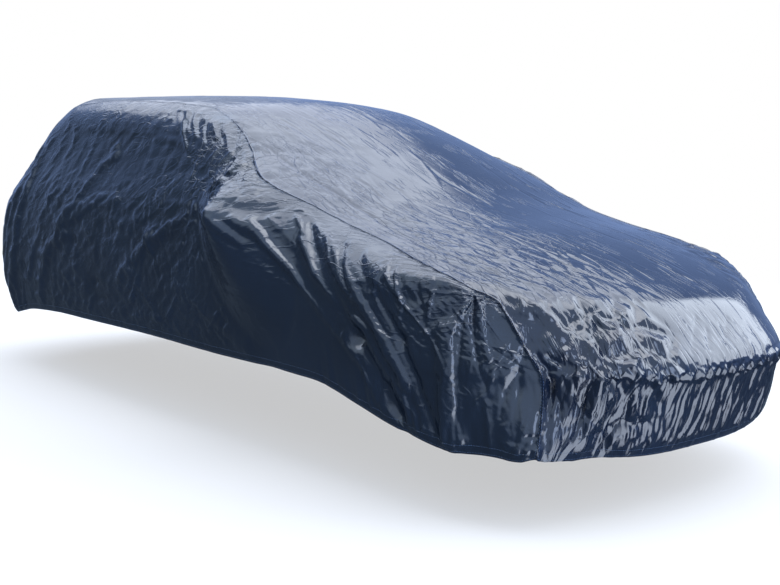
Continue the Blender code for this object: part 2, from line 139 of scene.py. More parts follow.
# The smooth body's lines: the roof, windscreen and bonnet from the side, the sides from the front,
# the sides from above, and the nose and tail from the side.
ROOF_LINES = Table(
    ("x", "height", "edge_drop"),
    (
        (-1.10, 1.516, 0.035),
        (-0.85, 1.527, 0.040),
        (-0.40, 1.525, 0.042),
        (0.00, 1.512, 0.045),
        (0.45, 1.487, 0.050),
        (0.80, 1.445, 0.060),
        (1.05, 1.372, 0.070),
        (1.30, 1.272, 0.065),
        (1.60, 1.138, 0.055),
        (1.85, 1.030, 0.050),
        (2.05, 0.968, 0.042),
        (2.35, 0.900, 0.038),
        (2.60, 0.828, 0.032),
        (2.80, 0.754, 0.032),
        (3.10, 0.620, 0.050),
    ),
)
SIDE_LINES = Table(
    ("height", "half_width"),
    (
        (0.20, 0.868),
        (0.40, 0.893),
        (0.65, 0.905),
        (0.85, 0.885),
        (0.97, 0.855),
        (1.15, 0.765),
        (1.30, 0.695),
        (1.42, 0.640),
        (1.55, 0.585),
    ),
)
PLAN_LINES = Table(
    ("x", "share"),
    (
        (-1.60, 0.940),
        (-1.00, 0.970),
        (-0.50, 0.995),
        (0.20, 1.000),
        (1.40, 1.000),
        (2.20, 0.985),
        (2.60, 0.972),
        (3.10, 0.915),
    ),
)
END_LINES = Table(
    ("height", "nose_x", "corner_x", "nose_curve", "tail_x"),
    (
        (0.20, 2.980, 2.990, 0.13, -1.450),
        (0.30, 3.020, 3.025, 0.14, -1.520),
        (0.40, 3.052, 3.045, 0.15, -1.585),
        (0.48, 3.078, 3.045, 0.16, -1.618),
        (0.50, 3.086, 3.042, 0.16, -1.622),
        (0.52, 3.077, 3.037, 0.16, -1.625),
        (0.62, 2.994, 2.985, 0.16, -1.630),
        (0.75, 2.860, 2.870, 0.15, -1.620),
        (0.95, 2.600, 2.600, 0.15, -1.560),
        (1.10, 2.400, 2.400, 0.16, -1.410),
        (1.30, 2.100, 2.100, 0.17, -1.225),
        (1.45, 1.900, 1.900, 0.17, -1.080),
        (1.60, 1.700, 1.700, 0.17, -0.940),
    ),
)
# The right seam's points, each at x, half width and height, from the tail's hem to the nose's.
TAIL_SEAM = (
    (-1.38, 0.76, 0.28),
    (-1.46, 0.77, 0.55),
    (-1.45, 0.75, 0.85),
    (-1.26, 0.68, 1.12),
    (-1.06, 0.60, 1.36),
    (-0.92, 0.55, 1.475),
)
ROOF_SEAM = (
    (-0.92, 0.55, 1.475),
    (-0.40, 0.52, 1.478),
    (0.20, 0.53, 1.452),
    (0.67, 0.54, 1.414),
)
WING_SEAM = (
    (0.67, 0.54, 1.414),
    (0.99, 0.60, 1.310),
    (1.25, 0.68, 1.184),
    (1.45, 0.71, 1.100),
    (1.68, 0.72, 1.014),
    (1.90, 0.70, 0.950),
    (2.10, 0.70, 0.900),
    (2.35, 0.735, 0.837),
    (2.53, 0.73, 0.785),
    (2.68, 0.69, 0.745),
)
NOSE_SEAM = (
    (2.68, 0.69, 0.745),
    (2.80, 0.70, 0.630),
    (2.88, 0.70, 0.520),
    (2.90, 0.70, 0.400),
    (2.88, 0.69, 0.255),
)
HEM_LINE = Table(
    ("x", "height"),
    (
        (-1.50, 0.265),
        (-1.15, 0.290),
        (-0.85, 0.345),
        (-0.50, 0.372),
        (0.00, 0.382),
        (0.50, 0.387),
        (1.30, 0.381),
        (1.75, 0.381),
        (1.95, 0.372),
        (2.15, 0.325),
        (2.38, 0.272),
        (2.60, 0.255),
        (3.20, 0.250),
    ),
)


@dataclass(frozen=True)
class CarShape:
    """Smooth body that the cloth lies on, as the distance from its surface.

    The radii round its edges. The powers say how the roof's crown and the ends' curve grow away
    from the middle, and past corner_low, as a share of plan_reach, the nose turns to corner_x.
    """

    edge_radius: float = 0.15
    nose_edge_radius: float = 0.022
    tail_edge_radius: float = 0.12
    plan_reach: float = 0.60
    crown_power: float = 2.0
    end_power: float = 3.0
    tail_curve: float = 0.10
    corner_low: float = 0.6
    corner_high: float = 1.2
    least_rate: float = 0.2
    probe: float = 0.001

    def outside_side(self, x: np.ndarray, y: np.ndarray, height: np.ndarray) -> np.ndarray:
        """Distance of points outside the cover's sides.

        Args:
            x: Places along the cover.
            y: Places across it.
            height: Heights above the ground.

        Returns:
            One distance for each point, below zero inside.
        """
        slope = SIDE_LINES.rate("half_width", height)
        reach = SIDE_LINES.read("half_width", height) * PLAN_LINES.read("share", x)
        return (np.abs(y) - reach) / np.sqrt(1.0 + slope**2)

    def outside_top(self, x: np.ndarray, y: np.ndarray, height: np.ndarray) -> np.ndarray:
        """Distance of points above the cover's roof, windscreen and bonnet.

        Args:
            x: Places along the cover.
            y: Places across it.
            height: Heights above the ground.

        Returns:
            One distance for each point, below zero inside.
        """
        slope = ROOF_LINES.rate("height", x)
        crown = ROOF_LINES.read("edge_drop", x) * (np.abs(y) / self.plan_reach) ** self.crown_power
        return (height - ROOF_LINES.read("height", x) + crown) / np.sqrt(1.0 + slope**2)

    def outside_end(
        self, x: np.ndarray, y: np.ndarray, height: np.ndarray, name: str, curve: np.ndarray
    ) -> np.ndarray:
        """Distance of points beyond the nose or the tail, which curve back to their corners.

        Args:
            x: Places along the cover.
            y: Places across it.
            height: Heights above the ground.
            name: Column of the end's line in END_LINES.
            curve: How far back the end lies at plan_reach from its middle.

        Returns:
            One distance for each point, below zero inside.
        """
        forward = 1.0 if name == "nose_x" else -1.0
        slope = END_LINES.rate(name, height)
        share = np.abs(y) / self.plan_reach
        place = END_LINES.read(name, height)
        if name == "nose_x":
            rounded = smooth_step(self.corner_low, self.corner_high, share)
            place = place + rounded * (END_LINES.read("corner_x", height) - place)
        beyond = forward * (x - place) + curve * share**self.end_power
        lean = self.end_power * curve / self.plan_reach * share ** (self.end_power - 1.0)
        return beyond / np.sqrt(1.0 + slope**2 + lean**2)

    def outside(self, points: np.ndarray) -> np.ndarray:
        """Distance of points from the smooth body.

        Args:
            points: Any array of points, heights above the ground.

        Returns:
            One distance for each point, below zero inside.
        """
        x, y, height = np.moveaxis(points, -1, 0)
        nose_curve = END_LINES.read("nose_curve", height)
        nose = self.outside_end(x, y, height, "nose_x", nose_curve)
        tail = self.outside_end(x, y, height, "tail_x", np.full_like(x, self.tail_curve))
        middle = smooth_max(nose, self.outside_top(x, y, height), self.nose_edge_radius)
        middle = smooth_max(tail, middle, self.tail_edge_radius)
        return smooth_max(self.outside_side(x, y, height), middle, self.edge_radius)

    def slope(self, points: np.ndarray) -> np.ndarray:
        """Direction and rate in which the distance from the body grows.

        Args:
            points: Any array of points, heights above the ground.

        Returns:
            One vector for each point.
        """
        slopes = np.empty_like(points)
        for axis in range(3):
            shift = np.zeros(3)
            shift[axis] = self.probe
            rise = self.outside(points + shift) - self.outside(points - shift)
            slopes[..., axis] = rise / (2 * self.probe)
        return slopes

    def normals(self, points: np.ndarray) -> np.ndarray:
        """Unit vectors out of the body."""
        slopes = self.slope(points)
        return slopes / np.linalg.norm(slopes, axis=-1, keepdims=True)

    def lay(self, points: np.ndarray, passes: int) -> np.ndarray:
        """Move points along the shortest way onto the smooth body.

        Args:
            points: Any array of points, heights above the ground.
            passes: How often they are moved.

        Returns:
            The moved points.
        """
        points = np.array(points, float)
        for _ in range(passes):
            slopes = self.slope(points)
            rate = np.maximum((slopes**2).sum(-1), self.least_rate)
            points = points - (self.outside(points) / rate)[..., None] * slopes
        return points


def read_grid(grid: np.ndarray, along: np.ndarray, across: np.ndarray) -> np.ndarray:
    """Smoothly interpolated points of a grid, by cubics through four rows and four columns.

    Args:
        grid: Rows by columns by 3 points.
        along: Share of the rows, from 0 to 1, and a little beyond at the ends.
        across: Share of the columns, in the same way.

    Returns:
        One point for each pair of shares.
    """
    for _ in range(2):
        grid = np.concatenate([2 * grid[:1] - grid[1:2], grid, 2 * grid[-1:] - grid[-2:-1]])
        grid = np.swapaxes(grid, 0, 1)
    result = 0.0
    weights = []
    for share, count in ((along, grid.shape[0] - 2), (across, grid.shape[1] - 2)):
        place = share * (count - 1)
        first = np.clip(np.floor(place).astype(int), 0, count - 2)
        t = place - first
        weight = np.stack(
            [
                0.5 * (-t + 2 * t**2 - t**3),
                0.5 * (2 - 5 * t**2 + 3 * t**3),
                0.5 * (t + 4 * t**2 - 3 * t**3),
                0.5 * (-(t**2) + t**3),
            ]
        )
        weights.append((first, weight))
    (row, row_weight), (column, column_weight) = weights
    for a in range(4):
        for b in range(4):
            weight = (row_weight[a] * column_weight[b])[:, None]
            result = result + weight * grid[row + a, column + b]
    return result


@dataclass(frozen=True)
class CutPlan:
    """The cover's cut: its seams and hems, and the smooth face of each panel."""

    shape: CarShape = CarShape()
    side_rows: int = 16
    roof_columns: int = 15
    wing_columns: int = 39
    top_columns: int = 20
    passes: int = 14
    evenings: int = 3
    hem_passes: int = 4
    hem_guess: float = 0.90

    def seam_line(self, table: tuple, side: int, count: int) -> np.ndarray:
        """Evenly spaced points along one stretch of a side's seam.

        Args:
            table: The stretch's rows of x, half width and height.
            side: -1 for the right side and 1 for the left.
            count: Number of steps between the points.

        Returns:
            The points, on the smooth body.
        """
        rows = np.array([(x, side * half_width, height) for x, half_width, height in table])
        steps = np.linalg.norm(np.diff(rows, axis=0), axis=1)
        lengths = np.concatenate([[0.0], np.cumsum(steps)])
        places = np.linspace(0.0, lengths[-1], count + 1)
        line = [smooth_curve(lengths, rows[:, axis], places) for axis in range(3)]
        return self.shape.lay(np.stack(line, axis=-1), self.passes)

    def hem_line(self, along_x: np.ndarray, side: int) -> np.ndarray:
        """The side hem below the given places, hanging at the body's width there.

        Args:
            along_x: Places along the cover.
            side: -1 for the right side and 1 for the left.

        Returns:
            One point for each place.
        """
        height = HEM_LINE.read("height", along_x)
        line = np.stack([along_x, np.full_like(along_x, side * self.hem_guess), height], axis=-1)
        for _ in range(self.hem_passes):
            line = self.shape.lay(line, self.passes)
            line[:, 0] = along_x
            line[:, 2] = height
        return line

    def seam_lines(self, side: int) -> tuple[np.ndarray, np.ndarray, np.ndarray]:
        """The stretches of a side's seam.

        Args:
            side: -1 for the right side and 1 for the left.

        Returns:
            The tail's points, the long stretch's and the nose's.
        """
        tail = self.seam_line(TAIL_SEAM, side, self.side_rows)
        roof = self.seam_line(ROOF_SEAM, side, self.roof_columns)
        wing = self.seam_line(WING_SEAM, side, self.wing_columns)
        nose = self.seam_line(NOSE_SEAM, side, self.side_rows)
        long = np.concatenate([tail[-1:], roof[1:], wing[1:]])
        nose[0] = long[-1]
        return tail, long, nose

    def side_face(self, side: int) -> np.ndarray:
        """Smooth face of a side panel, filled in between its four edges.

        Args:
            side: -1 for the right side and 1 for the left.

        Returns:
            Rows from tail to nose by columns from hem to seam by 3 points.
        """
        tail, long, nose = self.seam_lines(side)
        nose = nose[::-1]
        share_x = (long[:, 0] - long[0, 0]) / (long[-1, 0] - long[0, 0])
        hem = self.hem_line(tail[0, 0] + share_x * (nose[0, 0] - tail[0, 0]), side)
        hem[0] = tail[0]
        hem[-1] = nose[0]
        along = share_x[:, None, None]
        up = np.linspace(0.0, 1.0, len(tail))[None, :, None]
        grid = (1 - up) * hem[:, None] + up * long[:, None]
        grid = grid + (1 - along) * tail[None] + along * nose[None]
        grid -= (1 - along) * (1 - up) * hem[0] + along * (1 - up) * hem[-1]
        grid -= (1 - along) * up * long[0] + along * up * long[-1]
        grid = self.shape.lay(grid, self.passes)
        grid[:, 0] = hem
        grid[:, -1] = long
        grid[0] = tail
        grid[-1] = nose
        return grid

    def top_face(self) -> np.ndarray:
        """Smooth face of the top panel, filled in between its two seams.

        Returns:
            Rows from the tail's hem to the nose's by columns right to left by 3 points.
        """
        tail, long, nose = self.seam_lines(-1)
        right = np.concatenate([tail, long[1:], nose[1:]])
        left = right * np.array([1.0, -1.0, 1.0])
        across = np.linspace(0.0, 1.0, self.top_columns + 1)[None, :, None]
        grid = (1 - across) * right[:, None] + across * left[:, None]
        grid = self.shape.lay(grid, self.passes)
        for _ in range(self.evenings):
            grid = self.shape.lay(self.even(grid), self.passes)
            grid[:, 0] = right
            grid[:, -1] = left
        return grid

    @staticmethod
    def even(grid: np.ndarray) -> np.ndarray:
        """Space every column's rows as they lie along the seam, so that none crowd at an edge.

        Args:
            grid: Rows by columns by 3 points.

        Returns:
            The grid with its inner columns spaced anew.
        """
        steps = np.linalg.norm(np.diff(grid, axis=0), axis=-1)
        lengths = np.concatenate([np.zeros_like(steps[:1]), steps.cumsum(axis=0)])
        shares = lengths[:, 0] / lengths[-1, 0]
        spaced = grid.copy()
        for column in range(1, grid.shape[1] - 1):
            at = shares * lengths[-1, column]
            for axis in range(3):
                spaced[:, column, axis] = np.interp(at, lengths[:, column], grid[:, column, axis])
        return spaced


# Numbers that mix a cell's place into a random value, and the shift that keeps places above zero.
AXIS_PRIMES = (73856093, 19349663, 83492791)
MIX_PRIMES = (2654435761, 2246822519, 3266489917)
CELL_OFFSET = 4096
# How far a facet's own point strays from its cell's middle, as a share of the cell.
FACET_STRAY = 0.42
LEAST_LENGTH = 1e-6


@dataclass(frozen=True)
class Noise:
    """Smooth random values in space, the same each run."""

    seed: int

    def corner(self, cell: np.ndarray) -> np.ndarray:
        """Random value for each whole-numbered cell corner, mixed from its place and the seed.

        Args:
            cell: Whole-numbered corners of the unit cells.

        Returns:
            One value from -1 to 1 for each corner.
        """
        first, second, third = MIX_PRIMES
        x, y, z = np.moveaxis(cell.astype(np.uint32) * np.array(AXIS_PRIMES, np.uint32), -1, 0)
        mixed = (x ^ y ^ z ^ np.uint32(self.seed * first % 2**32)) * np.uint32(second)
        mixed = (mixed ^ (mixed >> np.uint32(15))) * np.uint32(third)
        mixed = mixed ^ (mixed >> np.uint32(13))
        return mixed.astype(float) / 2**31 - 1.0

    def read(self, points: np.ndarray) -> np.ndarray:
        """Smooth value that changes over a distance of about 1.

        Args:
            points: Points, already divided by the wanted size.

        Returns:
            One value from -1 to 1 for each point.
        """
        low = np.floor(points)
        share = points - low
        share = share * share * share * (share * (share * 6.0 - 15.0) + 10.0)
        low = low.astype(np.int64)
        total = np.zeros(points.shape[:-1])
        for number in range(8):
            side = np.array([number & 1, number >> 1 & 1, number >> 2 & 1])
            weight = np.prod(np.where(side, share, 1.0 - share), axis=-1)
            total += weight * self.corner(low + side + CELL_OFFSET)
        return total

    def facets(self, points: np.ndarray) -> np.ndarray:
        """Height of flat facets that meet in sharp creases, each facet about 1 wide.

        Args:
            points: Points, already divided by the wanted size.

        Returns:
            Each point's distance from its facet's nearest crease.
        """
        low = np.floor(points).astype(np.int64)
        steps = (-1, 0, 1)
        cells = [low + np.array([i, j, k]) for i in steps for j in steps for k in steps]
        gaps = np.stack([cell + 0.5 + self.stray(cell) - points for cell in cells])
        nearest = gaps[np.argmin((gaps**2).sum(-1), axis=0), np.arange(len(points))]
        apart = gaps - nearest
        length = np.linalg.norm(apart, axis=-1)
        wall = (0.5 * (gaps + nearest) * apart).sum(-1) / np.maximum(length, LEAST_LENGTH)
        return np.where(length < LEAST_LENGTH, math.inf, wall).min(axis=0)

    def stray(self, cell: np.ndarray) -> np.ndarray:
        """How far a cell's own point lies from its middle."""
        ways = [Noise(self.seed + way).corner(cell + CELL_OFFSET) for way in (1, 2, 3)]
        return FACET_STRAY * np.stack(ways, axis=-1)


# How many of its widths away a fold still lifts the cloth, and how fast a crisp one falls.
FOLD_REACH = 3.2
CRISP_FALL = 1.4
# Range of the random sizes, as shares of the given one.
SIZE_RANGE = (0.6, 1.4)


@dataclass(frozen=True)
class Fold:
    """Ridge (push above zero) or trough, in the two coordinates of its view.

    It runs from start to end with a bow to one side, and falls to a third over its width.
    """

    a_start: float
    b_start: float
    a_end: float
    b_end: float
    bow: float
    width: float
    push_start: float
    push_end: float
    form: Form = Form.SOFT


@dataclass
class FoldSet:
    """Folds of one view, laid together over the cloth."""

    view: View
    folds: list[Fold] = field(default_factory=list)

    def push(self, points: np.ndarray) -> np.ndarray:
        """Outward push of all the folds.

        Args:
            points: Rows of 3 coordinates of the cloth.

        Returns:
            One push for each point.
        """
        first, second = self.view.value
        a, b = points[:, first], points[:, second]
        push = np.zeros_like(a)
        for fold in self.folds:
            margin = FOLD_REACH * fold.width + abs(fold.bow)
            near = True
            for place, ends in ((a, (fold.a_start, fold.a_end)), (b, (fold.b_start, fold.b_end))):
                near = near & (place > min(ends) - margin) & (place < max(ends) + margin)
            places = np.flatnonzero(near)
            if len(places):
                push[places] += self.one_push(fold, a[places], b[places])
        return push

    @staticmethod
    def one_push(fold: Fold, a: np.ndarray, b: np.ndarray) -> np.ndarray:
        """Outward push of one fold.

        Args:
            fold: The fold.
            a: First coordinate of the points, in the fold's view.
            b: Their second coordinate.

        Returns:
            One push for each point.
        """
        run_a, run_b = fold.a_end - fold.a_start, fold.b_end - fold.b_start
        length = math.hypot(run_a, run_b)
        full = ((a - fold.a_start) * run_a + (b - fold.b_start) * run_b) / length**2
        along = np.clip(full, 0.0, 1.0)
        bow = fold.bow * 4.0 * along * (1.0 - along)
        off = ((b - fold.b_start) * run_a - (a - fold.a_start) * run_b) / length - bow
        past = (full - along) * length
        across = off / fold.width
        if fold.form is Form.SOFT:
            rise = np.exp(-(across**2))
        else:
            rise = np.exp(-CRISP_FALL * np.abs(across))
        height = fold.push_start + (fold.push_end - fold.push_start) * along
        return height * rise * np.exp(-((past / fold.width) ** 2))


# Random length, push at the start and bow of the folds in a patch, as shares.
CRUMPLE_LENGTHS = (0.5, 1.5)
CRUMPLE_STARTS = (0.3, 1.0)
CRUMPLE_BOW = 0.12


@dataclass(frozen=True)
class Crumple:
    """A patch of random short folds between two limits in each coordinate.

    The angle and its spread are in degrees from the first coordinate's way.
    """

    a: tuple[float, float]
    b: tuple[float, float]
    count: int
    angle: float
    spread: float
    length: float
    width: float
    push: float
    form: Form = Form.SOFT

    def folds(self, seed: int) -> list[Fold]:
        """The patch's folds, the same each run.

        Args:
            seed: Start of the random draws.

        Returns:
            The folds.
        """
        random = np.random.default_rng(seed)
        made = []
        for _ in range(self.count):
            a = random.uniform(*self.a)
            b = random.uniform(*self.b)
            angle = math.radians(self.angle + self.spread * random.normal())
            half = 0.5 * self.length * random.uniform(*CRUMPLE_LENGTHS)
            size = random.uniform(*SIZE_RANGE)
            push = self.push * size * random.choice((-1.0, 1.0))
            step_a, step_b = half * math.cos(angle), half * math.sin(angle)
            bow = CRUMPLE_BOW * half * random.normal()
            start = push * random.uniform(*CRUMPLE_STARTS)
            ends = (a - step_a, b - step_b, a + step_a, b + step_b)
            made.append(Fold(*ends, bow, self.width * size, start, push, self.form))
        return made


# Random shift, turn in degrees, length, width and bow of the folds in a row; then the push of its
# troughs and that of the far ends, all as shares but for the turn.
GATHER_STRAY = 0.35
GATHER_TURN = 5.0
GATHER_LENGTHS = (0.45, 1.4)
GATHER_WIDTHS = (0.7, 1.3)
GATHER_BOW = 0.05
GATHER_TROUGH = -0.8
GATHER_END = 0.15


@dataclass(frozen=True)
class Gather:
    """A row of ridges and troughs in turn that start at a line and fade out away from it.

    The angles at the line's two ends are in degrees from the first coordinate's way.
    """

    start: tuple[float, float]
    end: tuple[float, float]
    pitch: float
    angle_start: float
    angle_end: float
    length: float
    width: float
    push: float
    form: Form = Form.SOFT

    def folds(self, seed: int) -> list[Fold]:
        """The row's folds, the same each run.

        Args:
            seed: Start of the random draws.

        Returns:
            The folds.
        """
        random = np.random.default_rng(seed)
        run = np.subtract(self.end, self.start)
        count = max(2, round(float(np.hypot(*run)) / self.pitch))
        made = []
        for number in range(count):
            share = (number + 0.5 + random.uniform(-GATHER_STRAY, GATHER_STRAY)) / count
            a, b = np.array(self.start) + run * share
            angle = self.angle_start + (self.angle_end - self.angle_start) * share
            angle = math.radians(angle + GATHER_TURN * random.normal())
            length = self.length * random.uniform(*GATHER_LENGTHS)
            push = self.push * random.uniform(*SIZE_RANGE) * (1.0 if number % 2 else GATHER_TROUGH)
            bow = GATHER_BOW * length * random.normal()
            width = self.width * random.uniform(*GATHER_WIDTHS)
            ends = (a, b, a + length * math.cos(angle), b + length * math.sin(angle))
            made.append(Fold(*ends, bow, width, push, GATHER_END * push, self.form))
        return made


# Share of the push that is left at the end of a star's arm.
STAR_END = 0.3


@dataclass(frozen=True)
class Star:
    """Creases that run out from one point; each arm has an angle, a length and a push."""

    at: tuple[float, float]
    width: float
    arms: tuple[tuple[float, float, float], ...]

    def folds(self) -> list[Fold]:
        """One crisp fold for each arm.

        Returns:
            The folds, in the order of the arms.
        """
        a, b = self.at
        made = []
        for degrees, length, push in self.arms:
            angle = math.radians(degrees)
            end = (a + length * math.cos(angle), b + length * math.sin(angle))
            made.append(Fold(a, b, *end, 0.0, self.width, push, STAR_END * push, Form.CRISP))
        return made


# Mean height of the facets, and the share of the patch's reach at which it starts to fade.
FACET_MIDDLE = 0.25
FACET_FADE = 0.6


@dataclass(frozen=True)
class Facets:
    """A patch where the cloth is crushed into flat facets that meet in sharp creases."""

    middle: tuple[float, float, float]
    reach: float
    size: tuple[float, float, float]
    push: float
    level: int
    seed: int

    def shift(self, points: np.ndarray) -> np.ndarray:
        """Outward push of the facets.

        Args:
            points: Rows of 3 coordinates of the cloth.

        Returns:
            One push for each point.
        """
        push = np.zeros(len(points))
        away = np.linalg.norm(points - np.array(self.middle), axis=-1) / self.reach
        near = np.flatnonzero(away < 1.0)
        if len(near):
            height = Noise(self.seed).facets(points[near] / np.array(self.size)) - FACET_MIDDLE
            push[near] = self.push * smooth_step(1.0, FACET_FADE, away[near]) * height
        return push


@dataclass(frozen=True)
class Bulge:
    """Tent in the cloth, held out from inside and falling away over its reach.

    Below its point it reaches further down by hang and forward by lean, as loose cloth hangs.
    """

    at: tuple[float, float, float]
    push: tuple[float, float, float]
    reach: float
    power: float = 1.3
    hang: float = 1.0
    lean: float = 0.0
    pointed: bool = False

    def shift(self, points: np.ndarray) -> np.ndarray:
        """Movement of the cloth at the tent.

        Args:
            points: Rows of 3 coordinates of the cloth.

        Returns:
            One vector for each point.
        """
        gap = points - np.array(self.at)
        below = np.maximum(-gap[:, 2], 0.0)
        gap[:, 0] -= self.lean * below
        gap[:, 2] += (1.0 - 1.0 / self.hang) * below
        away = np.linalg.norm(gap, axis=-1)
        near = np.clip(1.0 - away / self.reach, 0.0, 1.0)
        share = near**self.power if self.pointed else smooth_step(0.0, 1.0, near) ** self.power
        return share[:, None] * np.array(self.push)


# A tent on each side, then the droop and the fullness at the right front corner.
BULGES = (
    Bulge((1.38, -0.83, 0.98), (0.00, -0.185, 0.00), 0.36, 1.4, 1.5, 0.45, True),
    Bulge((1.38, 0.83, 0.98), (0.00, 0.155, 0.00), 0.29, 1.3, 1.5, 0.45, True),
    Bulge((2.90, -0.70, 0.25), (0.05, -0.07, -0.025), 0.28),
    Bulge((2.60, -0.82, 0.25), (0.00, -0.01, -0.015), 0.22),
    Bulge((2.92, -0.62, 0.66), (0.02, -0.02, 0.00), 0.16),
)
# The crushed front corner, the patches along the right seam, then the broad ones on the sides.
FACETS = (
    Facets((2.97, -0.42, 0.54), 0.32, (0.11, 0.11, 0.17), 0.055, 2, 61),
    Facets((2.55, -0.66, 0.80), 0.30, (0.07, 0.06, 0.06), 0.007, 2, 73),
    Facets((1.35, -0.66, 1.16), 0.34, (0.08, 0.06, 0.06), 0.010, 2, 77),
    Facets((0.20, -0.90, 0.70), 1.10, (0.12, 0.10, 0.10), 0.010, 2, 81),
    Facets((0.20, 0.90, 0.70), 1.10, (0.12, 0.10, 0.10), 0.010, 2, 85),
    Facets((2.60, 0.80, 0.55), 0.50, (0.10, 0.10, 0.15), 0.025, 1, 89),
)

# Folds and stars placed one by one: by x and height on a side, by x and y on top, and by y and
# height at the nose.
SIDE_FOLDS = (
    Fold(1.12, 1.06, 1.26, 1.15, 0.00, 0.035, 0.010, 0.012),
    Fold(1.26, 1.15, 1.60, 1.07, 0.00, 0.035, 0.012, 0.010),
    Fold(1.22, 1.03, 1.60, 0.99, 0.00, 0.035, -0.014, -0.010),
    Fold(1.50, 0.96, 1.84, 0.74, 0.01, 0.022, 0.011, 0.009),
    Fold(1.56, 0.96, 1.71, 0.83, 0.00, 0.016, 0.009, 0.005),
    Fold(1.44, 0.93, 1.55, 0.86, 0.00, 0.018, 0.006, 0.003),
    Fold(1.62, 0.97, 1.75, 0.88, 0.00, 0.018, 0.006, 0.003),
    Fold(1.66, 1.00, 1.92, 0.79, 0.01, 0.020, 0.014, 0.007),
    Fold(1.70, 1.01, 1.98, 0.86, 0.01, 0.028, 0.018, 0.008),
    Fold(1.79, 0.98, 1.89, 0.93, 0.00, 0.014, 0.010, 0.004),
    Fold(1.87, 0.96, 2.03, 0.89, 0.00, 0.018, 0.012, 0.005),
    Fold(2.02, 0.91, 2.18, 0.83, 0.00, 0.022, 0.014, 0.005),
    Fold(2.05, 0.92, 2.22, 0.85, 0.00, 0.020, 0.013, 0.005),
    Fold(1.70, 0.88, 2.16, 0.56, 0.01, 0.028, -0.010, -0.022),
    Fold(2.16, 0.56, 2.40, 0.28, 0.00, 0.030, -0.022, -0.022),
    Fold(1.78, 0.94, 2.19, 0.56, 0.01, 0.024, -0.010, -0.018),
    Fold(2.19, 0.56, 2.38, 0.34, 0.00, 0.028, -0.018, -0.018),
    Fold(1.92, 0.78, 2.28, 0.44, 0.00, 0.034, 0.010, 0.014),
    Fold(1.99, 0.90, 2.14, 0.73, 0.00, 0.014, -0.009, -0.004),
    Fold(2.06, 0.89, 2.39, 0.59, 0.02, 0.020, -0.010, -0.012),
    Fold(2.39, 0.59, 2.54, 0.30, 0.00, 0.024, -0.012, -0.012),
    Fold(2.02, 0.84, 2.40, 0.46, 0.02, 0.036, 0.010, 0.012),
    Fold(2.29, 0.80, 2.49, 0.62, 0.00, 0.009, 0.010, 0.008, Form.CRISP),
    Fold(2.49, 0.62, 2.59, 0.48, 0.00, 0.012, 0.008, 0.001, Form.CRISP),
    Fold(2.25, 0.85, 2.29, 0.80, 0.00, 0.008, 0.008, 0.008, Form.CRISP),
    Fold(2.26, 0.83, 2.25, 0.74, 0.00, 0.008, 0.008, 0.008, Form.CRISP),
    Fold(2.25, 0.74, 2.28, 0.69, 0.00, 0.008, 0.008, 0.003, Form.CRISP),
    Fold(2.28, 0.87, 2.38, 0.72, 0.00, 0.009, 0.009, 0.009, Form.CRISP),
    Fold(2.38, 0.72, 2.37, 0.62, 0.00, 0.009, 0.009, 0.002, Form.CRISP),
    Fold(2.48, 0.75, 2.49, 0.62, 0.00, 0.010, 0.009, 0.004, Form.CRISP),
    Fold(2.63, 0.72, 2.70, 0.56, 0.00, 0.013, 0.010, 0.006),
    Fold(2.61, 0.60, 2.62, 0.28, 0.00, 0.007, -0.003, -0.003, Form.CRISP),
    Fold(2.55, 0.62, 2.60, 0.26, 0.00, 0.040, 0.008, 0.012),
    Fold(2.78, 0.60, 2.79, 0.32, 0.00, 0.018, -0.010, -0.012, Form.CRISP),
    Fold(1.35, 0.92, 1.62, 0.40, 0.00, 0.090, 0.016, -0.012),
    Fold(0.65, 0.82, 0.34, 0.61, 0.00, 0.050, 0.012, 0.004),
    Fold(0.65, 0.82, 0.92, 0.93, 0.00, 0.050, 0.012, 0.002),
    Fold(0.60, 0.80, 0.10, 0.86, 0.03, 0.060, -0.006, -0.008),
    Fold(-0.38, 0.84, 0.20, 0.98, 0.03, 0.055, 0.010, 0.006),
    Fold(-0.30, 0.80, -0.66, 0.45, -0.05, 0.060, 0.010, 0.008),
    Fold(-0.20, 0.76, 0.10, 0.55, 0.02, 0.070, -0.008, -0.006),
    Fold(0.00, 1.20, -0.30, 0.92, 0.00, 0.050, 0.008, 0.006),
    Fold(-0.62, 1.24, -0.88, 0.60, 0.04, 0.050, -0.006, -0.010),
    Fold(-0.95, 1.12, -1.12, 0.45, 0.04, 0.050, 0.006, 0.010),
    Fold(0.95, 0.62, 1.45, 0.45, 0.00, 0.060, 0.006, 0.008),
    Fold(-0.45, 0.44, 0.70, 0.46, -0.02, 0.045, 0.006, 0.006),
)
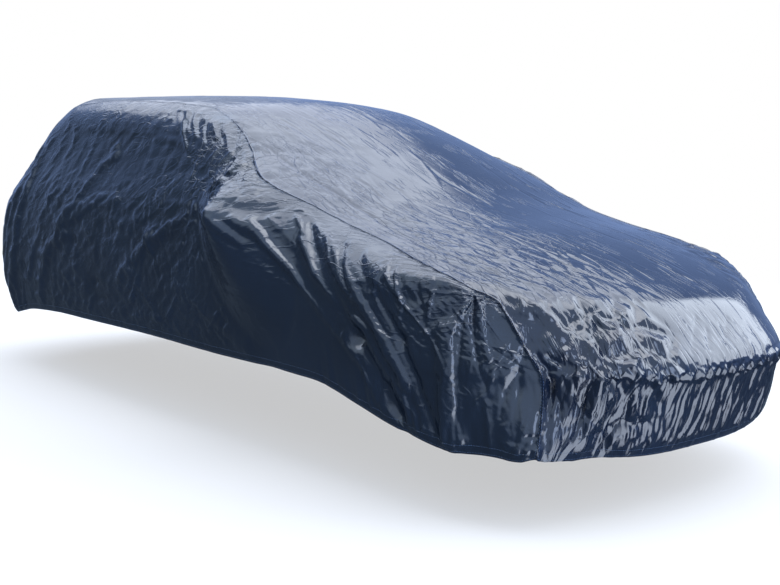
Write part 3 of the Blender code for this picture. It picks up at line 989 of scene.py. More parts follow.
SIDE_STARS = (
    Star((2.60, 0.75), 0.011, (
        (-71.0, 0.34, -0.013), (-88.0, 0.20, -0.010), (-48.0, 0.25, 0.010), (-30.0, 0.14, 0.010),
        (178.0, 0.12, 0.008), (-100.0, 0.16, 0.007), (-118.0, 0.14, -0.006),
    )),
    Star((1.14, 1.02), 0.011, (
        (76.0, 0.22, 0.008), (62.0, 0.26, -0.008), (48.0, 0.30, 0.009), (36.0, 0.26, -0.008),
        (24.0, 0.34, 0.009), (13.0, 0.30, -0.007), (4.0, 0.34, 0.008), (95.0, 0.16, -0.006),
    )),
    Star((1.11, 1.25), 0.010, (
        (-30.0, 0.42, -0.009), (-62.0, 0.22, 0.007), (-98.0, 0.20, -0.006), (-8.0, 0.30, 0.005),
        (-128.0, 0.16, 0.006),
    )),
    Star((0.65, 0.82), 0.016, (
        (150.0, 0.22, 0.006), (35.0, 0.26, -0.007), (12.0, 0.24, 0.006), (-20.0, 0.20, -0.006),
        (-60.0, 0.22, 0.006), (-110.0, 0.24, -0.007), (110.0, 0.20, 0.005),
    )),
    Star((-0.30, 0.84), 0.018, (
        (55.0, 0.30, 0.006), (20.0, 0.34, 0.006), (-35.0, 0.24, -0.006), (-80.0, 0.30, 0.006),
        (-125.0, 0.26, -0.006), (160.0, 0.24, 0.005),
    )),
)
TOP_FOLDS = (
    Fold(0.75, -0.19, 1.20, -0.21, 0.00, 0.120, 0.004, 0.007),
    Fold(1.20, -0.21, 1.95, -0.17, 0.00, 0.120, 0.007, 0.006),
    Fold(1.10, -0.62, 1.49, -0.60, 0.00, 0.009, -0.006, -0.006, Form.CRISP),
    Fold(1.49, -0.60, 1.87, -0.57, 0.00, 0.009, -0.006, -0.006, Form.CRISP),
    Fold(1.87, -0.57, 2.26, -0.61, -0.01, 0.009, -0.006, -0.005, Form.CRISP),
    Fold(2.26, -0.61, 2.58, -0.58, 0.01, 0.009, -0.005, -0.004, Form.CRISP),
)
TOP_STARS = (
    Star((2.64, -0.28), 0.008, (
        (150.0, 0.28, 0.005), (-62.0, 0.22, -0.005), (96.0, 0.16, 0.005), (-25.0, 0.15, 0.005),
        (-115.0, 0.20, -0.004), (172.0, 0.30, -0.004), (35.0, 0.16, -0.004),
    )),
    Star((1.97, -0.50), 0.008, (
        (40.0, 0.16, 0.005), (75.0, 0.12, -0.005), (-20.0, 0.20, -0.005), (170.0, 0.16, 0.004),
        (120.0, 0.14, 0.005),
    )),
)
NOSE_FOLDS = (
    Fold(-0.60, 0.74, -0.52, 0.30, 0.02, 0.045, 0.012, 0.016),
    Fold(-0.65, 0.56, -0.63, 0.47, 0.00, 0.016, -0.016, -0.022, Form.CRISP),
    Fold(-0.63, 0.47, -0.64, 0.32, 0.00, 0.018, -0.022, -0.014, Form.CRISP),
    Fold(-0.53, 0.56, -0.42, 0.30, 0.01, 0.030, -0.010, -0.014),
    Fold(-0.43, 0.74, -0.59, 0.62, 0.00, 0.012, -0.012, -0.008, Form.CRISP),
    Fold(-0.59, 0.75, -0.53, 0.75, 0.00, 0.006, -0.004, -0.004, Form.CRISP),
    Fold(-0.53, 0.75, -0.59, 0.68, 0.00, 0.006, -0.004, -0.004, Form.CRISP),
    Fold(-0.59, 0.68, -0.65, 0.68, 0.00, 0.006, -0.004, -0.004, Form.CRISP),
    Fold(-0.65, 0.68, -0.59, 0.75, 0.00, 0.006, -0.004, -0.004, Form.CRISP),
    Fold(-0.02, 0.65, -0.15, 0.56, 0.00, 0.008, -0.005, -0.005, Form.CRISP),
    Fold(-0.01, 0.61, -0.06, 0.56, 0.00, 0.008, -0.005, -0.005, Form.CRISP),
    Fold(0.15, 0.64, 0.04, 0.57, 0.00, 0.008, -0.005, -0.005, Form.CRISP),
    Fold(0.55, 0.70, 0.50, 0.34, 0.00, 0.050, -0.004, -0.008),
)
NOSE_STARS = (
    Star((-0.44, 0.70), 0.010, (
        (-125.0, 0.13, 0.009), (30.0, 0.11, 0.008), (12.0, 0.10, -0.006), (-160.0, 0.10, -0.008),
        (-90.0, 0.12, -0.009), (-65.0, 0.12, 0.008),
    )),
    Star((-0.33, 0.70), 0.009, (
        (-150.0, 0.15, 0.006), (-110.0, 0.11, -0.007), (-130.0, 0.14, 0.006), (-70.0, 0.10, -0.006),
        (60.0, 0.07, 0.005),
    )),
    Star((-0.54, 0.56), 0.012, (
        (150.0, 0.07, 0.010), (-62.0, 0.20, 0.012), (-140.0, 0.10, -0.010), (45.0, 0.10, 0.009),
        (-90.0, 0.20, -0.012), (-110.0, 0.22, 0.010),
    )),
)


@dataclass(frozen=True)
class Facing:
    """Part of the cover that one view's folds lie on."""

    view: View
    out: tuple[float, float, float]
    low: float = 0.30
    high: float = 0.70

    def share(self, normals: np.ndarray) -> np.ndarray:
        """How fully the cloth faces this view, from 0 to 1."""
        return smooth_step(self.low, self.high, normals @ np.array(self.out))


RIGHT = Facing(View.SIDE, (0.0, -1.0, 0.0))
LEFT = Facing(View.SIDE, (0.0, 1.0, 0.0))
TOP = Facing(View.TOP, (0.0, 0.0, 1.0))
NOSE = Facing(View.NOSE, (1.0, 0.0, 0.0))
TAIL = Facing(View.NOSE, (-1.0, 0.0, 0.0))

# Smaller folds, the same tables for both sides but with other random draws.
SIDE_DETAILS = (
    Gather((0.34, 1.43), (0.98, 1.32), 0.050, -28.0, -36.0, 0.24, 0.010, 0.009),
    Gather((1.60, 1.02), (2.25, 0.87), 0.050, -34.0, -40.0, 0.20, 0.011, 0.006),
    Gather((2.28, 0.86), (2.76, 0.72), 0.050, -55.0, -88.0, 0.18, 0.012, 0.005),
    Gather((1.95, 0.38), (2.85, 0.25), 0.040, 100.0, 88.0, 0.14, 0.012, 0.005),
    Gather((-1.40, 0.27), (-0.90, 0.34), 0.040, 100.0, 80.0, 0.22, 0.013, 0.006),
    Crumple((0.85, 1.80), (1.00, 1.34), 90, 20.0, 45.0, 0.08, 0.010, 0.004, Form.CRISP),
    Crumple((-1.10, 1.10), (0.50, 1.00), 150, 20.0, 60.0, 0.14, 0.018, 0.0030),
    Crumple((-1.30, -0.20), (0.50, 1.25), 60, 75.0, 12.0, 0.26, 0.016, 0.0030),
    Crumple((-0.90, 1.30), (0.40, 0.58), 130, 5.0, 30.0, 0.10, 0.012, 0.0034, Form.CRISP),
    Crumple((-1.20, 1.20), (0.40, 1.10), 220, 30.0, 70.0, 0.06, 0.010, 0.0026, Form.CRISP),
    Crumple((2.20, 2.85), (0.30, 0.75), 14, 88.0, 14.0, 0.24, 0.010, 0.002, Form.CRISP),
)
TOP_DETAILS = (
    Crumple((-0.90, 1.00), (-0.55, 0.55), 60, 0.0, 10.0, 0.18, 0.008, 0.0008),
    Crumple((0.90, 2.80), (-0.65, 0.65), 110, 0.0, 9.0, 0.22, 0.007, 0.0012),
    Crumple((0.90, 2.80), (-0.72, -0.40), 120, 5.0, 35.0, 0.12, 0.008, 0.0024, Form.CRISP),
    Crumple((2.00, 2.85), (-0.72, -0.05), 80, 0.0, 25.0, 0.16, 0.007, 0.0022, Form.CRISP),
)
NOSE_DETAILS = (
    Gather((-0.74, 0.25), (0.42, 0.25), 0.034, 93.0, 86.0, 0.20, 0.008, 0.006),
    Gather((-0.42, 0.492), (0.42, 0.488), 0.030, -95.0, -85.0, 0.36, 0.008, 0.010, Form.CRISP),
    Gather((-0.60, 0.51), (0.36, 0.50), 0.090, 95.0, 82.0, 0.12, 0.009, -0.005, Form.CRISP),
    Crumple((-0.72, -0.20), (0.50, 0.76), 12, 80.0, 35.0, 0.14, 0.009, 0.005, Form.CRISP),
    Crumple((-0.74, -0.30), (0.28, 0.52), 10, 85.0, 30.0, 0.14, 0.012, 0.009, Form.CRISP),
)
TAIL_DETAILS = (
    Gather((-0.74, 0.27), (0.74, 0.27), 0.034, 93.0, 86.0, 0.24, 0.011, 0.007),
    Crumple((-0.70, 0.70), (0.45, 1.20), 90, 80.0, 18.0, 0.24, 0.016, 0.0035),
    Crumple((-0.60, 0.60), (1.00, 1.45), 50, 15.0, 35.0, 0.16, 0.016, 0.003),
)


@dataclass(frozen=True)
class Zone:
    """Part of the cover between two limits in each coordinate of a view."""

    view: View
    a: tuple[float, float]
    b: tuple[float, float]
    fade: float

    def weight(self, points: np.ndarray) -> np.ndarray:
        """How fully each point lies in the zone.

        Args:
            points: Any array of points.

        Returns:
            One share from 0 to 1 for each point.
        """
        weight = 1.0
        for axis, (low, high) in zip(self.view.value, (self.a, self.b)):
            place = points[..., axis]
            weight = weight * smooth_step(low - self.fade, low + self.fade, place)
            weight = weight * smooth_step(high + self.fade, high - self.fade, place)
        return weight


@dataclass(frozen=True)
class Spare(Zone):
    """Zone where a panel was cut with spare cloth, as shares of its own length."""

    level: int
    along: float
    across: float


@dataclass(frozen=True)
class Crush(Zone):
    """Zone whose coat has this share of the finest creases or facets."""

    amount: float


@dataclass(frozen=True)
class Settling:
    """Settles cloth: its threads keep their lengths, so spare length rises as folds.

    In each step the links along and across the cloth, the slanting ones and those over two steps
    pull by their shares, the cloth carries on moving, and its weight presses it down.
    """

    steps: int
    stretch: float = 0.42
    shear: float = 0.10
    bend: float = 0.08
    carry: float = 0.90
    press: float = 0.00001

    @staticmethod
    def ends(grid: np.ndarray, down: int, over: int) -> tuple[np.ndarray, np.ndarray]:
        """Both ends of every link of one kind.

        Args:
            grid: Rows by columns of values.
            down: Rows that a link runs down.
            over: Columns that it runs over.

        Returns:
            The grid's part at the links' starts, and its part at their ends.
        """
        rows, columns = grid.shape[:2]
        near = grid[: rows - down, max(0, -over) : columns - max(0, over)]
        far = grid[down:, max(0, over) : columns - max(0, -over)]
        return near, far

    def links(self, places: np.ndarray, along: np.ndarray, across: np.ndarray) -> list[tuple]:
        """Every kind of link in the cloth.

        Args:
            places: Rows by columns by 3 points of the cloth.
            along: Spare length along the cloth, as a share.
            across: Spare length across it, as a share.

        Returns:
            Rows down, columns over, stiffness and kept lengths of each kind.
        """
        lengths = {}
        for down, over in ((1, 0), (0, 1), (1, 1), (1, -1)):
            near, far = self.ends(places, down, over)
            spare = down * along + abs(over) * across
            spare = self.ends(spare, down, over)[0] / (down + abs(over))
            lengths[down, over] = np.linalg.norm(far - near, axis=-1) * (1.0 + spare)
        lengths[2, 0] = lengths[1, 0][:-1] + lengths[1, 0][1:]
        lengths[0, 2] = lengths[0, 1][:, :-1] + lengths[0, 1][:, 1:]
        kinds = (
            (1, 0, self.stretch), (0, 1, self.stretch), (1, 1, self.shear),
            (1, -1, self.shear), (2, 0, self.bend), (0, 2, self.bend),
        )
        return [(down, over, share, lengths[down, over]) for down, over, share in kinds]

    def settle(
        self, places: np.ndarray, links: list[tuple], held: np.ndarray, body: tuple
    ) -> np.ndarray:
        """Let the cloth find its folds over the body.

        Args:
            places: Rows by columns by 3 points of the cloth.
            links: What the threads keep to.
            held: Which points stay where they are.
            body: Support points, outward normals, and the least and most distance from them.

        Returns:
            The settled points.
        """
        support, normals, least, most = body
        before = places
        for _ in range(self.steps):
            move = self.carry * (places - before)
            for down, over, share, rest in links:
                near, far = self.ends(places, down, over)
                gap = far - near
                length = np.sqrt(np.einsum("...i,...i->...", gap, gap))
                pull = (share * (1.0 - rest / length))[..., None] * gap
                near_move, far_move = self.ends(move, down, over)
                near_move += pull
                far_move -= pull
            move[held] = 0.0
            before = places
            places = places + move
            depth = np.einsum("...i,...i->...", places - support, normals)
            places += (np.clip(depth - self.press, least, most) - depth)[..., None] * normals
        return places


# The three levels, from a coarse grid to the finest, and the least width of a fold at each.
SETTLINGS = (Settling(90), Settling(70), Settling(50))
FOLD_WIDTHS = (0.028, 0.013, 0.0)
# Starts of the random values, and the shifts that set one reading of them off from the next.
WANDER_SEED = 11
UNEVEN_SEED = 40
WANDER_OFFSET = 31.0
UNEVEN_OFFSET = 57.0
# How sharply the hem turns in towards its edge.
HEM_POWER = 1.5


@dataclass
class Drape:
    """Everything that shapes the cloth away from the smooth body.

    The seed sizes and pushes are the small unevenness at each level, from which folds start. Folds
    wander a little from their straight lines. The seam dips, is calm beside it and puckers beyond,
    and the hem turns in over its elastic. Slack and rise limit how far the cloth sinks and lifts.
    """

    shape: CarShape = CarShape()
    passes: int = 2
    wander_push: float = 0.007
    wander_size: float = 0.11
    seed_push: tuple[float, float, float] = (0.0010, 0.0004, 0.0002)
    seed_size: tuple[float, float, float] = (0.10, 0.05, 0.025)
    seed_top: float = 0.3
    seed_along: tuple[float, float, float] = (5.0, 1.0, 2.0)
    seed_down: tuple[float, float, float] = (1.0, 1.0, 2.5)
    seam_dip: float = 0.0013
    seam_width: float = 0.007
    seam_calm: float = 0.03
    hem_turn: float = 0.012
    hem_reach: float = 0.035
    hem_calm: float = 0.035
    hem_share: float = 0.35
    slack_top: float = 0.002
    slack_side: float = 0.015
    give: float = 0.002
    rise: float = 0.020
    layers: list[tuple[Facing, int, FoldSet]] = field(default_factory=list)

    def add(self, facing: Facing, main: tuple, stars: tuple, details: tuple, seed: int) -> None:
        """Lay a view's folds, each at the first level whose grid is fine enough for it.

        Args:
            facing: Part of the cover that the folds lie on.
            main: Folds placed one by one.
            stars: Stars of creases.
            details: Patches and rows of smaller folds.
            seed: Start of the random draws, one more for each of the details.
        """
        folds = list(main)
        for star in stars:
            folds += star.folds()
        for number, detail in enumerate(details):
            folds += detail.folds(seed + number)
        limits = (math.inf, *FOLD_WIDTHS)
        for level in range(len(FOLD_WIDTHS)):
            held = [fold for fold in folds if limits[level + 1] <= fold.width < limits[level]]
            self.layers.append((facing, level, FoldSet(facing.view, held)))

    def push(self, level: int, smooth: np.ndarray, normals: np.ndarray) -> np.ndarray:
        """Outward push of one level's facets and folds.

        Args:
            level: The level.
            smooth: Rows of 3 coordinates on the smooth body.
            normals: The body's outward normal at each.

        Returns:
            One push for each point.
        """
        warp = Noise(WANDER_SEED)
        places = smooth / self.wander_size
        wander = [warp.read(places + WANDER_OFFSET * axis) for axis in range(3)]
        wandered = smooth + self.wander_push * np.stack(wander, axis=-1)
        push = np.zeros(smooth.shape[0])
        for patch in FACETS:
            if patch.level == level:
                push += patch.shift(wandered)
        for facing, fold_level, folds in self.layers:
            if fold_level == level:
                push += facing.share(normals) * folds.push(wandered)
        return push

    def unevenness(self, level: int, smooth: np.ndarray, normals: np.ndarray) -> np.ndarray:
        """Small random rise and fall, drawn out along the way that folds run there.

        Args:
            level: The level.
            smooth: Rows of 3 coordinates on the smooth body.
            normals: The body's outward normal at each.

        Returns:
            One push for each point.
        """
        size = self.seed_size[level]
        noise = Noise(UNEVEN_SEED + level)
        along = noise.read(smooth / (size * np.array(self.seed_along)))
        down = noise.read(smooth / (size * np.array(self.seed_down)) + UNEVEN_OFFSET)
        top = TOP.share(normals)
        return self.seed_push[level] * (self.seed_top * top * along + (1.0 - top) * down)

    def limits(self, depth: np.ndarray, normals: np.ndarray) -> tuple[np.ndarray, np.ndarray]:
        """How far the cloth may settle.

        Args:
            depth: Each point's distance from its support before it settles.
            normals: The body's outward normal at each.

        Returns:
            The least and the most distance from the support.
        """
        top = TOP.share(normals)
        slack = self.slack_top * top + self.slack_side * (1.0 - top)
        return np.minimum(depth - self.give, -slack), np.maximum(depth, 0.0) + self.rise


# A panel's four edges: the ends of its rows' way (u) and of its columns' way (v).
EDGES = ("u_low", "u_high", "v_low", "v_high")
# Cloth this close to a seam is held where it is.
HELD_WIDTH = 1e-4


@dataclass
class Panel:
    """One cut panel of the cover, from its smooth face to its dressed sheet.

    Its grid has this many rows and columns at the finest level, denser towards the nose.
    """

    name: str
    node: str
    slot: str
    rows: int
    columns: int
    flat: tuple[float, float]
    area: float
    spares: tuple[Spare, ...]
    crushes: tuple[Crush, ...]
    faceted: tuple[Crush, ...]
    dense: float = 0.3
    hem_sides: tuple[str, ...] = ("v_low",)
    mirrored: bool = False

    def measures(self, face: np.ndarray) -> np.ndarray:
        """Measure the smooth face along the cloth.

        Args:
            face: Rows by columns by 3 points.

        Returns:
            The points, each with its lengths from the four edges.
        """
        along = np.linalg.norm(np.diff(face, axis=0), axis=-1).cumsum(axis=0)
        along = np.concatenate([np.zeros_like(along[:1]), along])
        across = np.linalg.norm(np.diff(face, axis=1), axis=-1).cumsum(axis=1)
        across = np.concatenate([np.zeros_like(across[:, :1]), across], axis=1)
        lengths = [along, along[-1:] - along, across, across[:, -1:] - across]
        return np.concatenate([face, np.stack(lengths, axis=-1)], axis=-1)

    def level_grid(self, level: int) -> tuple[np.ndarray, np.ndarray]:
        """Points of one level's grid.

        Args:
            level: The level.

        Returns:
            Shares of the rows and of the columns at every point.
        """
        parts = 2 ** (len(SETTLINGS) - 1 - level)
        along = np.linspace(0.0, 1.0, self.rows // parts + 1)
        across = np.linspace(0.0, 1.0, self.columns // parts + 1)
        return np.meshgrid(along, across, indexing="ij")

    def drape(self, face: np.ndarray, drape: Drape) -> tuple[np.ndarray, np.ndarray]:
        """Hang the panel over the body, from broad folds to fine ones.

        Args:
            face: Grid of points of the smooth face, heights above the ground.
            drape: What shapes the cloth.

        Returns:
            Rows by columns by 3 points, and each point's lengths from the four edges.
        """
        measured = self.measures(face)
        raised = None
        for level, settling in enumerate(SETTLINGS):
            along, across = self.level_grid(level)
            place = along + self.dense * along * (1.0 - along)
            flat = read_grid(measured, place.ravel(), across.ravel())
            smooth = drape.shape.lay(flat[:, :3], drape.passes)
            normals = drape.shape.normals(smooth)
            lengths = np.maximum(flat[:, 3:].T, 0.0)
            hems = np.isin(EDGES, self.hem_sides)
            from_hem, from_seam = lengths[hems].min(axis=0), lengths[~hems].min(axis=0)
            support = smooth.copy()
            for bulge in BULGES:
                support += bulge.shift(smooth)
            push = drape.push(level, smooth, normals)
            hemmed = smooth_step(0.0, drape.hem_calm, from_hem)
            push *= drape.hem_share + (1.0 - drape.hem_share) * hemmed
            calm = smooth_step(0.0, drape.seam_calm, from_seam)
            push += drape.unevenness(level, smooth, normals) * calm
            if raised is None:
                turn = smooth_step(drape.hem_reach, 0.0, from_hem)
                push -= drape.hem_turn * turn**HEM_POWER
                places = support + push[:, None] * normals
            else:
                places = support + read_grid(raised, along.ravel(), across.ravel())
                places += push[:, None] * normals
            if level == len(SETTLINGS) - 1:
                dip = drape.seam_dip * np.exp(-((from_seam / drape.seam_width) ** 2))
                places -= dip[:, None] * normals
            least, most = drape.limits(((places - support) * normals).sum(-1), normals)
            shape = along.shape
            places, support, normals, least, most = (
                values.reshape(*shape, -1).astype(np.float32)
                for values in (places, support, normals, least, most)
            )
            spares = self.spare(level, smooth.reshape(*shape, 3))
            links = settling.links(places, *(spare.astype(np.float32) for spare in spares))
            held = (from_seam < HELD_WIDTH).reshape(shape)
            body = (support, normals, least[..., 0], most[..., 0])
            places = settling.settle(places, links, held, body)
            raised = places - support
        return places, lengths.T

    def spare(self, level: int, smooth: np.ndarray) -> tuple[np.ndarray, np.ndarray]:
        """Spare length of the panel at one level.

        Args:
            level: The level.
            smooth: Rows by columns by 3 points on the smooth body.

        Returns:
            Shares of spare length along and across the panel, at each point.
        """
        along = np.zeros(smooth.shape[:-1])
        across = np.zeros(smooth.shape[:-1])
        for zone in self.spares:
            if zone.level == level:
                weight = zone.weight(smooth)
                along += zone.along * weight
                across += zone.across * weight
        return along, across

    def build(self, face: np.ndarray, drape: Drape) -> bpy.types.Object:
        """Make the panel's sheet of cloth, in the CAD frame.

        Args:
            face: Grid of points of the smooth face, heights above the ground.
            drape: What shapes the cloth.

        Returns:
            The sheet, mapped in metres of cloth and painted with its zones.
        """
        places, lengths = self.drape(face, drape)
        sheet = bmesh.new()
        bmesh.ops.create_grid(sheet, x_segments=self.rows, y_segments=self.columns, size=0.5)
        corners = np.array([vert.co[:2] for vert in sheet.verts]) + 0.5
        row, column = np.rint(corners * (self.rows, self.columns)).astype(int).T
        order = row * (self.columns + 1) + column
        points = places.reshape(-1, 3)[order].astype(float)
        crushed, faceted = (self.share(zones, points) for zones in (self.crushes, self.faceted))
        points[:, 2] -= ROOF_MOUNT_HEIGHT
        for vert, point in zip(sheet.verts, points):
            vert.co = point
        if self.mirrored:
            bmesh.ops.reverse_faces(sheet, faces=sheet.faces)
        mesh = bpy.data.meshes.new(self.name)
        sheet.to_mesh(mesh)
        sheet.free()
        lengths = lengths[order]
        u_low, _, v_low, v_high = lengths.T
        self.map_cloth(mesh, "cloth", np.stack([u_low, 0.5 * (v_low - v_high)], axis=-1))
        nearest = np.array(EDGES)[lengths.argmin(axis=1)]
        run = np.where(np.isin(nearest, EDGES[:2]), v_low, u_low)
        self.map_cloth(mesh, "edge", np.stack([lengths.min(axis=1), run], axis=-1))
        self.paint(mesh, "hem", np.isin(nearest, self.hem_sides))
        self.paint(mesh, "crushed", crushed)
        self.paint(mesh, "faceted", faceted)
        mesh.shade_smooth()
        panel = bpy.data.objects.new(self.name, mesh)
        bpy.context.scene.collection.objects.link(panel)
        return panel

    @staticmethod
    def share(zones: tuple[Crush, ...], points: np.ndarray) -> np.ndarray:
        """Share of fine creases at each point: the most that any zone gives it.

        Args:
            zones: The zones.
            points: Rows of 3 coordinates of the cloth.

        Returns:
            One share for each point.
        """
        share = np.zeros(len(points))
        for zone in zones:
            share = np.maximum(share, zone.amount * zone.weight(points))
        return share

    @staticmethod
    def paint(mesh: bpy.types.Mesh, name: str, values: np.ndarray) -> None:
        """Give each of the mesh's points a value."""
        layer = mesh.attributes.new(name, "FLOAT", "POINT")
        layer.data.foreach_set("value", values.astype(np.float32))

    @staticmethod
    def map_cloth(mesh: bpy.types.Mesh, name: str, lengths: np.ndarray) -> None:
        """Give the mesh a UV map in metres of cloth.

        Args:
            mesh: The mesh.
            name: The map's name.
            lengths: Two lengths for each of the mesh's points.
        """
        layer = mesh.uv_layers.new(name=name)
        corners = np.empty(len(mesh.loops), dtype=np.int64)
        mesh.loops.foreach_get("vertex_index", corners)
        layer.data.foreach_set("uv", lengths[corners].astype(np.float32).ravel())

    def dress(self, panel: bpy.types.Object, material: bpy.types.Material) -> None:
        """Give the panel its finish, hang it from the root body and hide the CAD part that it
        replaces.

        Args:
            panel: The panel's sheet.
            material: Its finish.
        """
        panel.data.materials.append(material)
        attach(panel, "root")
        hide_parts(self.node)


def linear_colour(sheet_hex: str) -> tuple[float, float, float, float]:
    """Turn an sRGB hex colour to Blender's linear one.

    Args:
        sheet_hex: The colour, such as "#151f31".

    Returns:
        Red, green, blue and an alpha of 1.
    """
    channels = [int(sheet_hex[place : place + 2], 16) / 255.0 for place in (1, 3, 5)]
    linear = [c / 12.92 if c <= 0.04045 else ((c + 0.055) / 1.055) ** 2.4 for c in channels]
    return (*linear, 1.0)


def add_node(tree: bpy.types.NodeTree, kind: str, settings: dict, links: dict) -> bpy.types.Node:
    """Add one node with its settings, socket values and links.

    Args:
        tree: The node tree.
        kind: Blender's name of the node type.
        settings: Node properties by name; a socket's value by its name in brackets.
        links: Output socket that feeds each input, by the input's name or number.

    Returns:
        The new node.
    """
    node = tree.nodes.new(kind)
    for name, value in settings.items():
        if name.startswith("["):
            socket = name[1:-1]
            node.inputs[int(socket) if socket.isdigit() else socket].default_value = value
        else:
            setattr(node, name, value)
    for name, output in links.items():
        tree.links.new(output, node.inputs[name])
    return node


class Lie(Enum):
    """How the creases of one size lie in the coat."""

    LOOSE = "loose"
    NET = "net"
    FACET = "facet"


@dataclass(frozen=True)
class Creases:
    """Sharp creases of one size: spacing along and across the cloth, width as a share of it.

    The clump size and the two noise values between which they set in say where they lie.
    """

    lie: Lie
    along: float
    across: float
    width: float
    depth: float
    clump: float
    cover: tuple[float, float]


# Where the noise of each size of creases starts, so that no size repeats another.
CREASE_START = (7.3, 3.1)
CLUMP_DETAIL = 1.0
LOOSE_DETAIL = 1.0
LOOSE_DISTORTION = 0.2
# How far the lines of a net or of facets stray, and the noise by which they do.
STRAY_REACH = (1.2, 1.2, 0.0)
STRAY_SCALE = 0.7
STRAY_DETAIL = 2.0


